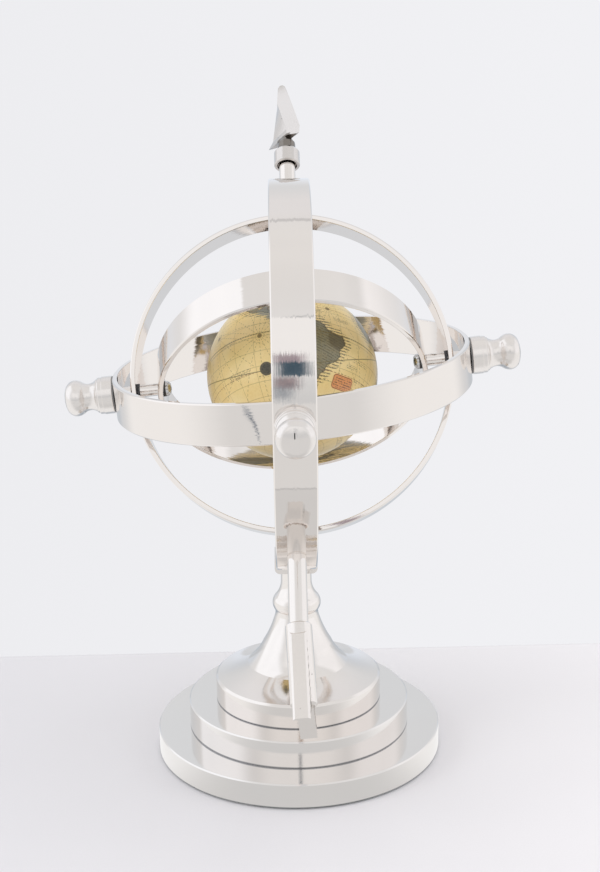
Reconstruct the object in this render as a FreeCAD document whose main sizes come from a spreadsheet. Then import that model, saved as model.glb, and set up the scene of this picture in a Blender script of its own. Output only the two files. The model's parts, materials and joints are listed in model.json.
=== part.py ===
import FreeCAD, Part
import math
import os

import Sketcher

# Armillary sphere on a stepped pedestal.
#
# Frame: millimetres, +Z up, origin at the centre of the underside. The meridian ring
# lies in the YZ plane and its centre is on the Z axis. -Y is the front (the tail of the
# arrow points that way), +X is the right-hand side.
#
# Every ring is a strip bent into a hoop. From the outside in: meridian ring (fixed to
# the stand), equator band (turns on the front and back pivots), colure ring and
# ecliptic ring (turn on the left and right pivots, which the equator band carries),
# and the globe (turns on the shaft of the arrow).

V = FreeCAD.Vector
doc = FreeCAD.newDocument("armillary_sphere")

# ---------------------------------------------------------------- driving dimensions
# Alias, value, note.
TABLE = [
    ("stripwidth", 25.4, "width of the strip that every ring is bent from"),
    ("stripthick", 3.2, "thickness of that strip"),
    ("stripedge", 0.45, "rounding of the strip's edges"),
    ("centerheight", 255.0, "height of the common centre above the table"),
    ("meridianrad", 123.0, "outer radius, meridian ring"),
    ("equatorrad", 113.0, "outer radius, equator band"),
    ("colurerad", 101.7, "outer radius, colure ring"),
    ("eclipticrad", 85.2, "outer radius, ecliptic ring"),
    ("globerad", 54.0, "outer radius, globe"),
    ("globewall", 2.6, "wall of the hollow globe"),
    ("equatortilt", 5.16, "equator band at rest, degrees, right-hand end up"),
    ("colurelean", 23.5, "colure ring at rest, degrees, top leans back"),
    ("eclipticrise", 52.5, "ecliptic ring at rest, degrees, front part raised"),
    ("arrowrise", 48.4, "elevation of the arrow, degrees"),
    ("feltrad", 92.0, "felt pad radius"),
    ("feltthick", 1.2, "felt pad thickness"),
    ("baserad", 94.0, "base disc radius"),
    ("basetop", 17.3, "height of the base disc's top face"),
    ("middlerad", 73.0, "middle disc radius"),
    ("middletop", 35.5, "height of the middle disc's top face"),
    ("bellrad", 54.8, "bell rim radius"),
    ("belltop", 51.7, "height of the bell rim's top edge"),
    ("necktop", 125.0, "height of the pedestal's top face"),
    ("neckrad", 10.0, "pedestal neck radius"),
    ("edgebreak", 0.8, "chamfer on the turned discs"),
    ("tierad", 4.0, "M8 tie rod radius"),
    ("saddlewidth", 27.8, "saddle, overall width over the cheeks"),
    ("saddlelong", 24.0, "saddle, length front to back"),
    ("saddleround", 3.6, "saddle, rounding of the lower corners"),
    ("saddlescrewrad", 3.0, "M6 saddle screw radius"),
    ("shaftrad", 5.45, "arrow shaft radius"),
    ("spigotrad", 4.0, "threaded end of the shaft, radius"),
    ("pinrad", 2.5, "M5 pivot screw radius"),
    ("runfit", 0.05, "radial clearance where a ring or the globe turns"),
    ("fixfit", 0.02, "radial clearance of fixed screws"),
    ("sidegap", 0.05, "axial clearance beside a turning ring"),
    ("spacerrad", 3.9, "spacer tube radius"),
    ("washerrad", 4.9, "small washer radius"),
    ("washerthick", 1.2, "small washer thickness"),
    ("headrad", 4.75, "pivot screw head radius"),
    ("headheight", 3.3, "pivot screw head height"),
    ("socketflats", 3.0, "hexagon socket of the pivot screws, across flats"),
    ("knobrad", 12.0, "knob collar radius"),
    ("knoblong", 31.2, "knob length"),
    ("knobwasher", 0.9, "thickness of the washer under a knob"),
    ("bushrad", 8.0, "globe bush body radius"),
    ("collarrad", 9.0, "shaft collar radius"),
    ("collarlong", 7.0, "shaft collar length"),
    ("barbreach", 14.0, "arrow head, half width at the barbs"),
    ("headbase", 181.8, "arrow head, distance of the barbs from the centre"),
    ("headtip", 229.0, "arrow head, distance of the tip from the centre"),
    ("headcollar", 8.7, "arrow head, collar radius"),
    ("headtwist", 45.0, "arrow head, turn of the blade about the shaft, degrees"),
    ("vanethick", 10.0, "arrow tail, thickness of the vanes"),
    ("vanereach", 22.0, "arrow tail, half width over the vanes"),
    ("tailend", 229.0, "arrow tail, distance of its end from the centre"),
    ("tailrad", 7.9, "arrow tail, core radius"),
    ("taillean", 2.4, "arrow tail, sideways lean of its outer shape, degrees"),
    ("sleeverad", 5.9, "arrow shaft, radius of the thicker lower length"),
    ("tailtwist", 6.0, "arrow tail, turn of the vanes about the shaft, degrees"),
]


class Dim:
    """A number that knows its value and the sheet formula it comes from.
    In a mixed sum or product the Dim stands first."""

    def __init__(self, value, text):
        self.value = float(value)
        self.text = text

    def _joined(self, sign, other, value):
        return Dim(value, "(%s %s %s)" % (self.text, sign, other.text))

    def __add__(self, other):
        other = as_dim(other)
        return self._joined("+", other, self.value + other.value)

    def __sub__(self, other):
        other = as_dim(other)
        return self._joined("-", other, self.value - other.value)

    def __mul__(self, other):
        other = as_dim(other)
        return self._joined("*", other, self.value * other.value)

    def __truediv__(self, other):
        other = as_dim(other)
        return self._joined("/", other, self.value / other.value)

    def __neg__(self):
        return Dim(0, "0") - self


def as_dim(number):
    if isinstance(number, Dim):
        return number
    return Dim(number, "%.6f" % number if number >= 0 else "(0 - %.6f)" % -number)


class Dimensions:
    """Holds each alias of the sheet as an attribute."""


dim = Dimensions()
sheet = doc.addObject("Spreadsheet::Sheet", "Dimensions")
for row, (alias, value, note) in enumerate(TABLE, start=1):
    sheet.set("A%d" % row, alias)
    sheet.set("B%d" % row, str(value))
    sheet.setAlias("B%d" % row, alias)
    sheet.set("C%d" % row, note)
    setattr(dim, alias, Dim(value, "Dimensions." + alias))
doc.recompute()

# ---------------------------------------------------------------- places and directions
CENTER = V(0, 0, dim.centerheight.value)
AT_CENTER = FreeCAD.Placement(CENTER, FreeCAD.Rotation())

tilt = math.radians(dim.equatortilt.value)
lean = math.radians(dim.colurelean.value)
rise = math.radians(dim.eclipticrise.value)
aim = math.radians(dim.arrowrise.value)


def frame(xdir, ydir, zdir):
    """Placement at the common centre with the given axes."""
    return FreeCAD.Placement(CENTER, FreeCAD.Rotation(xdir, ydir, zdir, "ZXY"))


def frame_about(xdir, axis):
    return frame(xdir, axis.cross(xdir), axis)


def turn_about(point, axis, degrees):
    rotation = FreeCAD.Rotation(axis, degrees)
    return FreeCAD.Placement(point - rotation.multVec(point), rotation)


# Axes of the tilted equator band: to the right, to the back, and up.
BAND_X = V(math.cos(tilt), 0, math.sin(tilt))
BAND_Y = V(0, 1, 0)
BAND_Z = V(-math.sin(tilt), 0, math.cos(tilt))

AT_MERIDIAN = frame(V(0, 1, 0), V(0, 0, 1), V(1, 0, 0))
AT_EQUATOR = frame(BAND_X, BAND_Y, BAND_Z)
AT_COLURE = frame_about(BAND_X, BAND_Y * -math.cos(lean) + BAND_Z * math.sin(lean))
AT_ECLIPTIC = frame_about(BAND_X, BAND_Y * math.sin(rise) + BAND_Z * math.cos(rise))
# Local Z runs along the arrow from tail to head.
AT_ARROW = frame_about(V(1, 0, 0), V(0, math.cos(aim), math.sin(aim)))

# Along each pivot the local Z axis points outward from the common centre.
SIDES = {
    "left": frame(BAND_Z, BAND_Y, V(0, 0, 0) - BAND_X),
    "right": frame(BAND_Z, V(0, -1, 0), BAND_X),
    "front": frame(V(1, 0, 0), V(0, 0, 1), V(0, -1, 0)),
    "back": frame(V(-1, 0, 0), V(0, 0, 1), V(0, 1, 0)),
}


def about_arrow(degrees):
    return AT_ARROW.multiply(turn_about(V(0, 0, 0), V(0, 0, 1), degrees))


# ---------------------------------------------------------------- modelling helpers
pieces = []


def body(label, placement=None):
    """An empty body. One that has a placement follows the height of the centre."""
    piece = doc.addObject("PartDesign::Body", label)
    piece.Label = label
    if placement is not None:
        piece.Placement = placement
        z = dim.centerheight + (placement.Base.z - CENTER.z)
        piece.setExpression(".Placement.Base.z", z.text)
    pieces.append(piece)
    return piece


def sketch_on(piece, role, name, offset=None):
    """Sketch on an origin plane, moved by a placement if one is given."""
    sketch = piece.newObject("Sketcher::SketchObject", name)
    plane = [item for item in piece.Origin.OriginFeatures if item.Role == role][0]
    sketch.AttachmentSupport = [(plane, "")]
    sketch.MapMode = "FlatFace"
    if offset is not None:
        sketch.AttachmentOffset = offset
    return sketch


def sketch_at(piece, role, name, distance):
    """Sketch parallel to an origin plane, at a driven distance from it."""
    distance = as_dim(distance)
    offset = FreeCAD.Placement(V(0, 0, distance.value), FreeCAD.Rotation())
    sketch = sketch_on(piece, role, name, offset)
    sketch.setExpression(".AttachmentOffset.Base.z", distance.text)
    return sketch


def drive(sketch, kind, *args):
    """Adds a constraint whose last argument is a Dim, and binds it to the sheet."""
    size = args[-1]
    index = sketch.addConstraint(Sketcher.Constraint(kind, *args[:-1], size.value))
    sketch.setExpression("Constraints[%d]" % index, size.text)


def pin_point(sketch, edge, end, x, y):
    """Ties one sketch point to the sketch origin with two driven distances."""
    drive(sketch, "DistanceX", -1, 1, edge, end, as_dim(x))
    drive(sketch, "DistanceY", -1, 1, edge, end, as_dim(y))


def add_arc(sketch, x0, y0, x1, y1, radius):
    """Arc between two points. Returns its edge number and its first and last ends."""
    dx, dy = x1 - x0, y1 - y0
    half = math.hypot(dx, dy) / 2
    sagitta_leg = math.sqrt(max(radius.value * radius.value - half * half, 0.0))
    side = 1.0 if radius.value > 0 else -1.0
    x = (x0 + x1) / 2 - side * dy / (2 * half) * sagitta_leg
    y = (y0 + y1) / 2 + side * dx / (2 * half) * sagitta_leg
    start, stop = math.atan2(y0 - y, x0 - x), math.atan2(y1 - y, x1 - x)
    ends = (1, 2)
    if side < 0:
        start, stop, ends, radius = stop, start, (2, 1), -radius
    round_edge = Part.Circle(V(x, y, 0), V(0, 0, 1), radius.value)
    edge = sketch.addGeometry(Part.ArcOfCircle(round_edge, start, stop), False)
    drive(sketch, "Radius", edge, radius)
    return (edge,) + ends


def outline(sketch, points):
    """Closed outline. Each entry is (x, y) for a straight edge to the next point, or
    (x, y, radius) for an arc to it: a positive radius has its centre on the left."""
    following = points[1:] + points[:1]
    edges = []
    for point, after in zip(points, following):
        x0, y0, x1, y1 = (as_dim(c).value for c in (*point[:2], *after[:2]))
        if len(point) == 3:
            edges.append(add_arc(sketch, x0, y0, x1, y1, as_dim(point[2])))
        else:
            line = Part.LineSegment(V(x0, y0, 0), V(x1, y1, 0))
            edges.append((sketch.addGeometry(line, False), 1, 2))
    for (edge, _, last), (after, first, _) in zip(edges, edges[1:] + edges[:1]):
        sketch.addConstraint(Sketcher.Constraint("Coincident", edge, last, after, first))
    for (edge, first, _), point in zip(edges, points):
        pin_point(sketch, edge, first, point[0], point[1])


def circle(sketch, x, y, radius):
    x, y, radius = as_dim(x), as_dim(y), as_dim(radius)
    shape = Part.Circle(V(x.value, y.value, 0), V(0, 0, 1), radius.value)
    edge = sketch.addGeometry(shape, False)
    drive(sketch, "Radius", edge, radius)
    pin_point(sketch, edge, 3, x, y)


def hexagon(sketch, flats):
    """Regular hexagon about the sketch origin, size across flats."""
    side = as_dim(flats) / math.sqrt(3.0)
    angles = [math.radians(60 * k) for k in range(6)]
    outline(sketch, [(side * math.cos(a), side * math.sin(a)) for a in angles])


def feature(piece, kind, name, **settings):
    """Adds a feature as the new tip. A setting given as a Dim is bound to the sheet.
    A cut that points away from the solid removes nothing, so the volume is read."""
    cuts = kind in ("Pocket", "Groove")
    before = piece.Shape.Volume if cuts else 0.0
    made = piece.newObject("PartDesign::" + kind, name)
    for key, setting in settings.items():
        if isinstance(setting, Dim):
            setattr(made, key, setting.value)
            made.setExpression(key, setting.text)
        else:
            setattr(made, key, setting)
    piece.Tip = made
    doc.recompute()
    if cuts and not piece.Shape.Volume < before - 1e-3:
        raise RuntimeError("%s removed nothing from %s" % (name, piece.Label))
    return made


def revolve(piece, name, points, kind="Revolution", role="XZ_Plane", axis="V_Axis",
            offset=None):
    sketch = sketch_on(piece, role, name + "_profile", offset)
    outline(sketch, points)
    feature(piece, kind, name, Profile=sketch, ReferenceAxis=(sketch, [axis]), Angle=360.0)


def turned(label, points, placement=None):
    """A piece turned about its own Z axis. Points are (radius, z)."""
    piece = body(label, placement)
    revolve(piece, label + "_turning", points)
    return piece


def pocket(piece, sketch, name, depth, flipped=False):
    feature(piece, "Pocket", name, Profile=sketch, Type="Length", Length=as_dim(depth),
            Reversed=flipped)


def bore_across(piece, role, name, radius, y=0, offset=None, both=True):
    """Round hole right through, to both sides of the plane or only against its normal."""
    sketch = sketch_on(piece, role, name + "_circle", offset)
    circle(sketch, 0, y, radius)
    settings = {"SideType": "Symmetric"} if both else {}
    feature(piece, "Pocket", name, Profile=sketch, Type="ThroughAll", **settings)


def facing(points, turn):
    """Straight-edged profile as given (turn 1), or mirrored to negative z (turn -1)."""
    return [(x, y * turn) for x, y in points][::turn]


# ---------------------------------------------------------------- pedestal
TIE_HOLE = dim.tierad + 0.2
TIE_THREAD = dim.tierad + dim.fixfit
SADDLE_THREAD = dim.saddlescrewrad + dim.fixfit

# The recess under the base disc holds the nut and the washer of the tie rod.
RECESS_RADIUS = 14.5
RECESS_TOP = 11.2
BASE_WASHER_RADIUS = 12.0
BASE_WASHER_THICK = 1.6
BASE_NUT_FLATS = 13.0
BASE_NUT_HEIGHT = 6.2
BASE_NUT_TOP = RECESS_TOP - BASE_WASHER_THICK


def build_discs():
    turned("felt_pad", [
        (0, 0), (dim.feltrad - 0.3, 0), (dim.feltrad, 0.3),
        (dim.feltrad, dim.feltthick), (0, dim.feltthick),
    ])
    turned("base_disc", [
        (RECESS_RADIUS, dim.feltthick), (dim.baserad - 0.6, dim.feltthick),
        (dim.baserad, dim.feltthick + 0.6), (dim.baserad, dim.basetop - dim.edgebreak),
        (dim.baserad - dim.edgebreak, dim.basetop), (TIE_HOLE, dim.basetop),
        (TIE_HOLE, RECESS_TOP), (RECESS_RADIUS, RECESS_TOP),
    ])
    turned("middle_disc", [
        (TIE_HOLE, dim.basetop), (dim.middlerad - 0.3, dim.basetop),
        (dim.middlerad, dim.basetop + 0.3), (dim.middlerad, dim.middletop - dim.edgebreak),
        (dim.middlerad - dim.edgebreak, dim.middletop), (TIE_HOLE, dim.middletop),
    ])


def build_bell_pedestal():
    """Hollow bell, bead and neck in one casting. The tie rod screws in from below and
    the saddle screw from above."""
    turned("bell_pedestal", [
        # Outside, from the rim up.
        (dim.bellrad - 5.2, dim.middletop), (dim.bellrad - 0.3, dim.middletop),
        (dim.bellrad, dim.middletop + 0.3), (dim.bellrad, dim.belltop - 1.4),
        (dim.bellrad - 1.4, dim.belltop, -80), (33.0, 59.6, -34), (23.0, 73.0, -75),
        (14.2, 93.4), (14.1, 95.2), (14.3, 96.6, 7.6), (14.4, 105.8, -16.0),
        (dim.neckrad + 0.15, 115.5), (dim.neckrad, dim.necktop),
        # Hole of the saddle screw, down.
        (SADDLE_THREAD, dim.necktop), (SADDLE_THREAD, 106.5), (0, 105.0),
        # Hole of the tie rod, then the hollow of the bell, down.
        (0, 101.0), (TIE_THREAD, 101.0), (TIE_THREAD, 80.0), (9.0, 79.0),
        (17.5, 72.0), (27.0, 58.5), (36.0, 51.0), (dim.bellrad - 5.2, 46.5),
    ])


def build_tie_rod():
    turned("tie_rod", [
        (0, 2.4), (dim.tierad - 0.7, 2.4), (dim.tierad, 3.1),
        (dim.tierad, 99.0), (dim.tierad - 0.8, 99.8), (0, 99.8),
    ])
    turned("base_washer", [
        (TIE_HOLE, BASE_NUT_TOP), (BASE_WASHER_RADIUS, BASE_NUT_TOP),
        (BASE_WASHER_RADIUS, RECESS_TOP), (TIE_HOLE, RECESS_TOP),
    ])
    nut = body("base_nut")
    sketch = sketch_at(nut, "XY_Plane", "base_nut_outline", BASE_NUT_TOP - BASE_NUT_HEIGHT)
    hexagon(sketch, BASE_NUT_FLATS)
    circle(sketch, 0, 0, TIE_THREAD)
    feature(nut, "Pad", "base_nut_pad", Profile=sketch, Length=BASE_NUT_HEIGHT)


# ---------------------------------------------------------------- rings
def inner_face(radius):
    """Inner radius of the ring with this outer radius."""
    return radius - dim.stripthick


def hoop(label, placement, radius):
    """A ring of strip, about its own Z axis, with lightly rounded edges."""
    half, edge, inner = dim.stripwidth / 2, dim.stripedge, inner_face(radius)
    piece = body(label, placement)
    revolve(piece, label + "_strip", [
        (inner + edge, -half), (radius - edge, -half, edge), (radius, -half + edge),
        (radius, half - edge, edge), (radius - edge, half), (inner + edge, half, edge),
        (inner, half - edge), (inner, -half + edge, edge),
    ])
    return piece


def build_meridian_ring():
    ring = hoop("meridian_ring", AT_MERIDIAN, dim.meridianrad)
    bore_across(ring, "YZ_Plane", "meridian_pivot_holes", dim.pinrad + dim.fixfit)
    along_arrow = turn_about(V(0, 0, 0), V(0, 1, 0), dim.arrowrise.value)
    bore_across(ring, "YZ_Plane", "meridian_shaft_holes", dim.shaftrad + dim.fixfit,
                offset=along_arrow)
    # Countersunk hole at the lowest point for the saddle screw.
    floor = -inner_face(dim.meridianrad)
    hole = dim.saddlescrewrad + 0.1
    revolve(ring, "meridian_countersink", [
        (0, floor + 0.6), (6.3, floor + 0.6), (6.3, floor - 0.1),
        (hole, floor - 3.1), (hole, floor - 4.0), (0, floor - 4.0),
    ], kind="Groove", role="XY_Plane")


def build_moving_rings():
    running = dim.pinrad + dim.runfit
    equator = hoop("equator_band", AT_EQUATOR, dim.equatorrad)
    bore_across(equator, "XZ_Plane", "equator_pivot_bores", running)
    bore_across(equator, "YZ_Plane", "equator_screw_holes", dim.pinrad + dim.fixfit)
    colure = hoop("colure_ring", AT_COLURE, dim.colurerad)
    bore_across(colure, "YZ_Plane", "colure_bores", running)
    ecliptic = hoop("ecliptic_ring", AT_ECLIPTIC, dim.eclipticrad)
    bore_across(ecliptic, "YZ_Plane", "ecliptic_bores", running)


# ---------------------------------------------------------------- saddle
SEAT_CUT_INNER = -100.0  # height, from the centre, where the seat's cutting ring ends


def build_saddle():
    """Block between the neck and the meridian ring, with a curved seat for the ring."""
    saddle = body("saddle", AT_CENTER)
    low = dim.necktop - dim.centerheight
    high = -inner_face(dim.meridianrad)
    wide = dim.saddlewidth / 2
    corner = dim.saddleround
    sketch = sketch_on(saddle, "XZ_Plane", "saddle_outline")
    outline(sketch, [
        (-wide + corner, low), (wide - corner, low, corner), (wide, low + corner),
        (wide, high), (-wide, high), (-wide, low + corner, corner),
    ])
    feature(saddle, "Pad", "saddle_block", Profile=sketch, Length=dim.saddlelong,
            SideType="Symmetric")
    seat = dim.stripwidth / 2 + 0.03
    bottom = -dim.meridianrad - 0.02
    revolve(saddle, "saddle_seat", [
        (-seat, bottom), (seat, bottom), (seat, SEAT_CUT_INNER), (-seat, SEAT_CUT_INNER),
    ], kind="Groove", axis="H_Axis")
    bore_across(saddle, "XY_Plane", "saddle_screw_hole", dim.saddlescrewrad + 0.1)


def build_saddle_screw():
    """Countersunk screw through the meridian ring and the saddle into the neck."""
    top = -inner_face(dim.meridianrad) - 0.15
    radius = dim.saddlescrewrad
    screw = turned("saddle_screw", [
        (0, top), (6.0, top), (6.0, top - 0.2), (radius, top - 3.0), (radius, top - 25.5),
        (radius - 0.6, top - 26.2), (0, top - 26.2),
    ], AT_CENTER)
    sketch = sketch_at(screw, "XY_Plane", "saddle_screw_socket", top)
    hexagon(sketch, 4.0)
    pocket(screw, sketch, "saddle_screw_key", depth=2.0)


# ---------------------------------------------------------------- pivots
PIN_HOLE = dim.pinrad + dim.fixfit
DOME_START = 29.8  # height of the dome's edge above the knob's foot
DOME_INSET = 4.4  # the dome's edge lies this far inside the knob's collar radius
SCREW_IN_KNOB = 13.0  # reach of the pivot screw beyond the knob washer


def knob(side, ring):
    """Turned knob with a stepped collar, a waist and a domed end, tapped from below."""
    z = ring + dim.knobwasher + 0.05
    radius = dim.knobrad
    across = radius - DOME_INSET
    crown = dim.knoblong - DOME_START
    dome = (across * across + crown * crown) / (crown * 2)
    turned(side + "_knob", [
        (PIN_HOLE, z), (radius - 0.4, z), (radius, z + 0.4), (radius, z + 6.3),
        (radius - 0.35, z + 6.6), (radius - 0.35, z + 8.6, 1.1), (radius - 1.3, z + 9.7),
        (radius - 1.3, z + 10.4, -6.4), (radius - 2.1, z + 19.3, 8.3),
        (radius - 0.5, z + 23.9, 6.5), (across, z + DOME_START, dome),
        (0, z + dim.knoblong), (0, z + 16.0), (PIN_HOLE, z + 14.5),
    ], SIDES[side])


def washer(label, side, low, thick, radius):
    turned(label, [
        (PIN_HOLE, low), (radius, low), (radius, low + thick), (PIN_HOLE, low + thick),
    ], SIDES[side])


def spacer(label, side, low, high):
    radius = dim.spacerrad
    turned(label, [
        (PIN_HOLE, low), (radius - 0.25, low), (radius, low + 0.25),
        (radius, high - 0.25), (radius - 0.25, high), (PIN_HOLE, high),
    ], SIDES[side])


def pivot_screw(side, seat, end):
    """Button-head screw: its head faces the common centre."""
    top = seat - dim.headheight
    screw = turned(side + "_pivot_screw", [
        (0, top), (2.6, top, 3.9), (dim.headrad, top + 2.1), (dim.headrad, seat),
        (dim.pinrad, seat), (dim.pinrad, end - 0.5), (dim.pinrad - 0.5, end), (0, end),
    ], SIDES[side])
    sketch = sketch_at(screw, "XY_Plane", side + "_screw_socket", top)
    hexagon(sketch, dim.socketflats)
    pocket(screw, sketch, side + "_screw_key", depth=2.0, flipped=True)


def flat_inside(ring, across):
    """Where a flat disc of radius across rests inside a ring: the ring is curved, so
    the disc stays a little clear of its inner face."""
    inner = inner_face(ring)
    return inner - (across * across / (inner * 2) + 0.02)


def washer_seat(ring):
    """Face, nearer the centre, of a small washer that lies inside a turning ring."""
    return flat_inside(ring, dim.washerrad) - dim.sidegap - dim.washerthick


def pivot_ends(side, outside, innermost):
    """Knob on the outside ring, and the screw that starts inside the innermost one."""
    washer(side + "_knob_washer", side, outside + 0.02, dim.knobwasher, dim.knobrad - 0.5)
    knob(side, outside)
    seat = washer_seat(innermost)
    washer(side + "_screw_washer", side, seat, dim.washerthick, dim.washerrad)
    pivot_screw(side, seat, outside + dim.knobwasher + SCREW_IN_KNOB)


def build_pivots():
    for side in ("front", "back"):
        pivot_ends(side, dim.meridianrad, dim.equatorrad)
        spacer(side + "_spacer", side, dim.equatorrad + dim.sidegap,
               flat_inside(dim.meridianrad, dim.spacerrad))
    for side in ("left", "right"):
        pivot_ends(side, dim.equatorrad, dim.eclipticrad)
        spacer(side + "_outer_spacer", side, dim.colurerad + dim.sidegap,
               flat_inside(dim.equatorrad, dim.spacerrad))
        seat = washer_seat(dim.colurerad)
        washer(side + "_spacer_washer", side, seat, dim.washerthick, dim.washerrad)
        spacer(side + "_inner_spacer", side, dim.eclipticrad + dim.sidegap, seat)


# ---------------------------------------------------------------- arrow
SHAFT_HOLE = dim.shaftrad + dim.fixfit
SPIGOT_HOLE = dim.spigotrad + dim.fixfit
SLEEVE_HOLE = dim.sleeverad + dim.fixfit
HEAD_STEP = 170.0  # distance of the step in the head's bore from the centre
TAIL_STEP = 173.0  # the same in the tail's bore
STEP_GAP = 0.1  # the shaft's shoulders stop this short of those steps

# Cross sections of the blade from the tip down: distance along the arrow, then the
# (x, y) of a cutting edge, a ridge, the other cutting edge and the other ridge. The tip
# is bent a little to one side, as hand filed blades are.
BLADE = [
    (dim.headtip, [(-1.13, -1.60), (-1.74, -1.20), (-2.97, -2.20), (-2.80, -2.37)]),
    (dim.headtip - 2.0, [(0.94, -1.16), (-1.47, 0.14), (-4.69, -2.48), (-3.91, -3.26)]),
    (dim.headtip - 16.0, [(5.80, -1.13), (-2.83, 2.12), (-7.07, -1.27), (-3.82, -4.53)]),
    (dim.headbase + 6.0, [(13.0, 0), (-3.6, 3.6), (-13.0, 0), (3.6, -3.6)]),
    (dim.headbase - 0.4, [(dim.barbreach - 0.85, -0.85), (-4.67, 3.1),
                          (-dim.barbreach - 1.7, -1.7), (4.0, -3.7)]),
]
BACK_RADIUS = 40.0  # hollowed back of the blade
BACK_DEPTH = 1.0  # how far the hollow reaches past the barbs' distance

HINGE_Z = -168.0  # point on the shaft about which the tail leans
VANE_ROOT = 8.5  # half width of the vanes at their upper end
VANE_START = 174.4  # distance of that end from the centre
VANE_LIP = 0.4  # the widest point lies this far before the tail's end
BARB_COUNT = 9
BARB_PITCH = 4.6
BARB_FIRST = 178.0
BARB_INNER = 7.0
BARB_WIDTH = 1.5
BARB_DEPTH = 0.7


def build_arrow_shaft():
    shaft, spigot, sleeve = dim.shaftrad, dim.spigotrad, dim.sleeverad
    low, high = STEP_GAP - TAIL_STEP, HEAD_STEP - STEP_GAP
    turned("arrow_shaft", [
        (0, -196.0), (spigot - 0.6, -196.0), (spigot, -195.4), (spigot, low),
        (sleeve, low), (sleeve, -136.0), (shaft, -135.4), (shaft, high),
        (spigot, high), (spigot, 177.4), (spigot - 0.6, 178.0), (0, 178.0),
    ], AT_ARROW)


def build_arrow_head():
    head = body("arrow_head", about_arrow(-dim.headtwist.value))
    sections = []
    for k, (z, corners) in enumerate(BLADE):
        sketch = sketch_at(head, "XY_Plane", "arrow_head_section_%d" % k, z)
        outline(sketch, corners)
        sections.append(sketch)
    feature(head, "AdditiveLoft", "arrow_head_blade", Profile=sections[0],
            Sections=sections[1:], Ruled=True)
    bore_across(head, "XZ_Plane", "arrow_head_back", BACK_RADIUS,
                y=dim.headbase + BACK_DEPTH - BACK_RADIUS)
    collar = dim.headcollar
    revolve(head, "arrow_head_core", [
        (0, 166.0), (collar - 0.6, 166.0), (collar - 0.6, 171.6), (collar - 1.4, 172.4),
        (6.6, 172.6, -9.0), (6.0, 176.2), (5.8, 179.0), (4.6, 181.0), (2.4, 186.0),
        (0, 188.0),
    ])
    revolve(head, "arrow_head_collar", [
        (0, 161.0), (collar - 0.4, 161.0), (collar, 161.4), (collar, 171.0),
        (collar - 1.2, 172.6), (0, 172.6),
    ])
    revolve(head, "arrow_head_bore", [
        (0, 158.0), (collar - 1.5, 158.0), (collar - 1.9, 161.2), (collar - 2.4, 166.0),
        (SHAFT_HOLE, 166.4), (SHAFT_HOLE, HEAD_STEP), (SPIGOT_HOLE, HEAD_STEP),
        (SPIGOT_HOLE, 178.6), (0, 179.4),
    ], kind="Groove")


def add_vanes(tail):
    end, reach = dim.tailend, dim.vanereach
    sketch = sketch_on(tail, "YZ_Plane", "arrow_tail_vane_outline")
    outline(sketch, [
        (-6.8, -173.0), (-VANE_ROOT, -VANE_START), (-reach, -end + VANE_LIP),
        (-reach + 1.6, -end), (0, -end + 16.0), (reach - 1.6, -end),
        (reach, -end + VANE_LIP), (VANE_ROOT, -VANE_START), (6.8, -173.0),
    ])
    vanes = feature(tail, "Pad", "arrow_tail_vanes", Profile=sketch, Length=dim.vanethick,
                    SideType="Symmetric")
    edges = []
    for k, edge in enumerate(vanes.Shape.Edges, start=1):
        middle = edge.CenterOfMass
        on_face = abs(abs(middle.x) - dim.vanethick.value / 2) < 1e-3
        if on_face and edge.Length > 40 and abs(middle.y) > 11:
            edges.append("Edge%d" % k)
    if len(edges) != 4:
        raise RuntimeError("the vanes should have four long outer edges")
    feature(tail, "Chamfer", "arrow_tail_edges", Base=(vanes, edges), Size=1.3)


def cut_barbs(tail):
    """Slanting barb grooves on both faces of the vanes."""
    spread = dim.vanereach.value - VANE_ROOT
    length = dim.tailend.value - VANE_LIP - VANE_START
    for face, word in ((1, "right"), (-1, "left")):
        sketch = sketch_at(tail, "YZ_Plane", "arrow_tail_barbs_" + word,
                           dim.vanethick * face / 2)
        for k in range(BARB_COUNT):
            start = BARB_FIRST + BARB_PITCH * k
            outer = VANE_ROOT + (start + 3.0 - VANE_START) * spread / length - 1.9
            run = max(outer - BARB_INNER, 1.0)
            end = min(start + run * 0.9, 226.5)
            for sign in (1, -1):
                outline(sketch, [
                    (sign * BARB_INNER, -start), (sign * BARB_INNER, -start - BARB_WIDTH),
                    (sign * outer, -end - BARB_WIDTH), (sign * outer, -end),
                ][::sign])
        pocket(tail, sketch, "arrow_tail_barb_cut_" + word, depth=BARB_DEPTH,
               flipped=face < 0)


def build_arrow_tail():
    """The tail's outer shape leans a little to one side, while its socket stays in line
    with the shaft."""
    lean_angle = dim.taillean.value
    leaning = turn_about(V(0, 0, HINGE_Z), V(0, 1, 0), -lean_angle)
    tail = body("arrow_tail", about_arrow(-dim.tailtwist.value).multiply(leaning))
    add_vanes(tail)
    cut_barbs(tail)
    end, core = dim.tailend, dim.tailrad
    revolve(tail, "arrow_tail_core", [
        (0, -end + 13.0), (core - 1.4, -end + 13.0), (core, -end + 14.4),
        (core, -167.1), (core - 0.6, -166.4), (0, -166.4),
    ])
    # The bore's sketch turns back about the hinge; sketch y is the tail's z.
    revolve(tail, "arrow_tail_bore", [
        (0, -196.6), (SPIGOT_HOLE, -196.4), (SPIGOT_HOLE, -TAIL_STEP),
        (SLEEVE_HOLE, -TAIL_STEP), (SLEEVE_HOLE, -160.0), (0, -160.0),
    ], kind="Groove", offset=turn_about(V(0, HINGE_Z, 0), V(0, 0, 1), -lean_angle))


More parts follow.
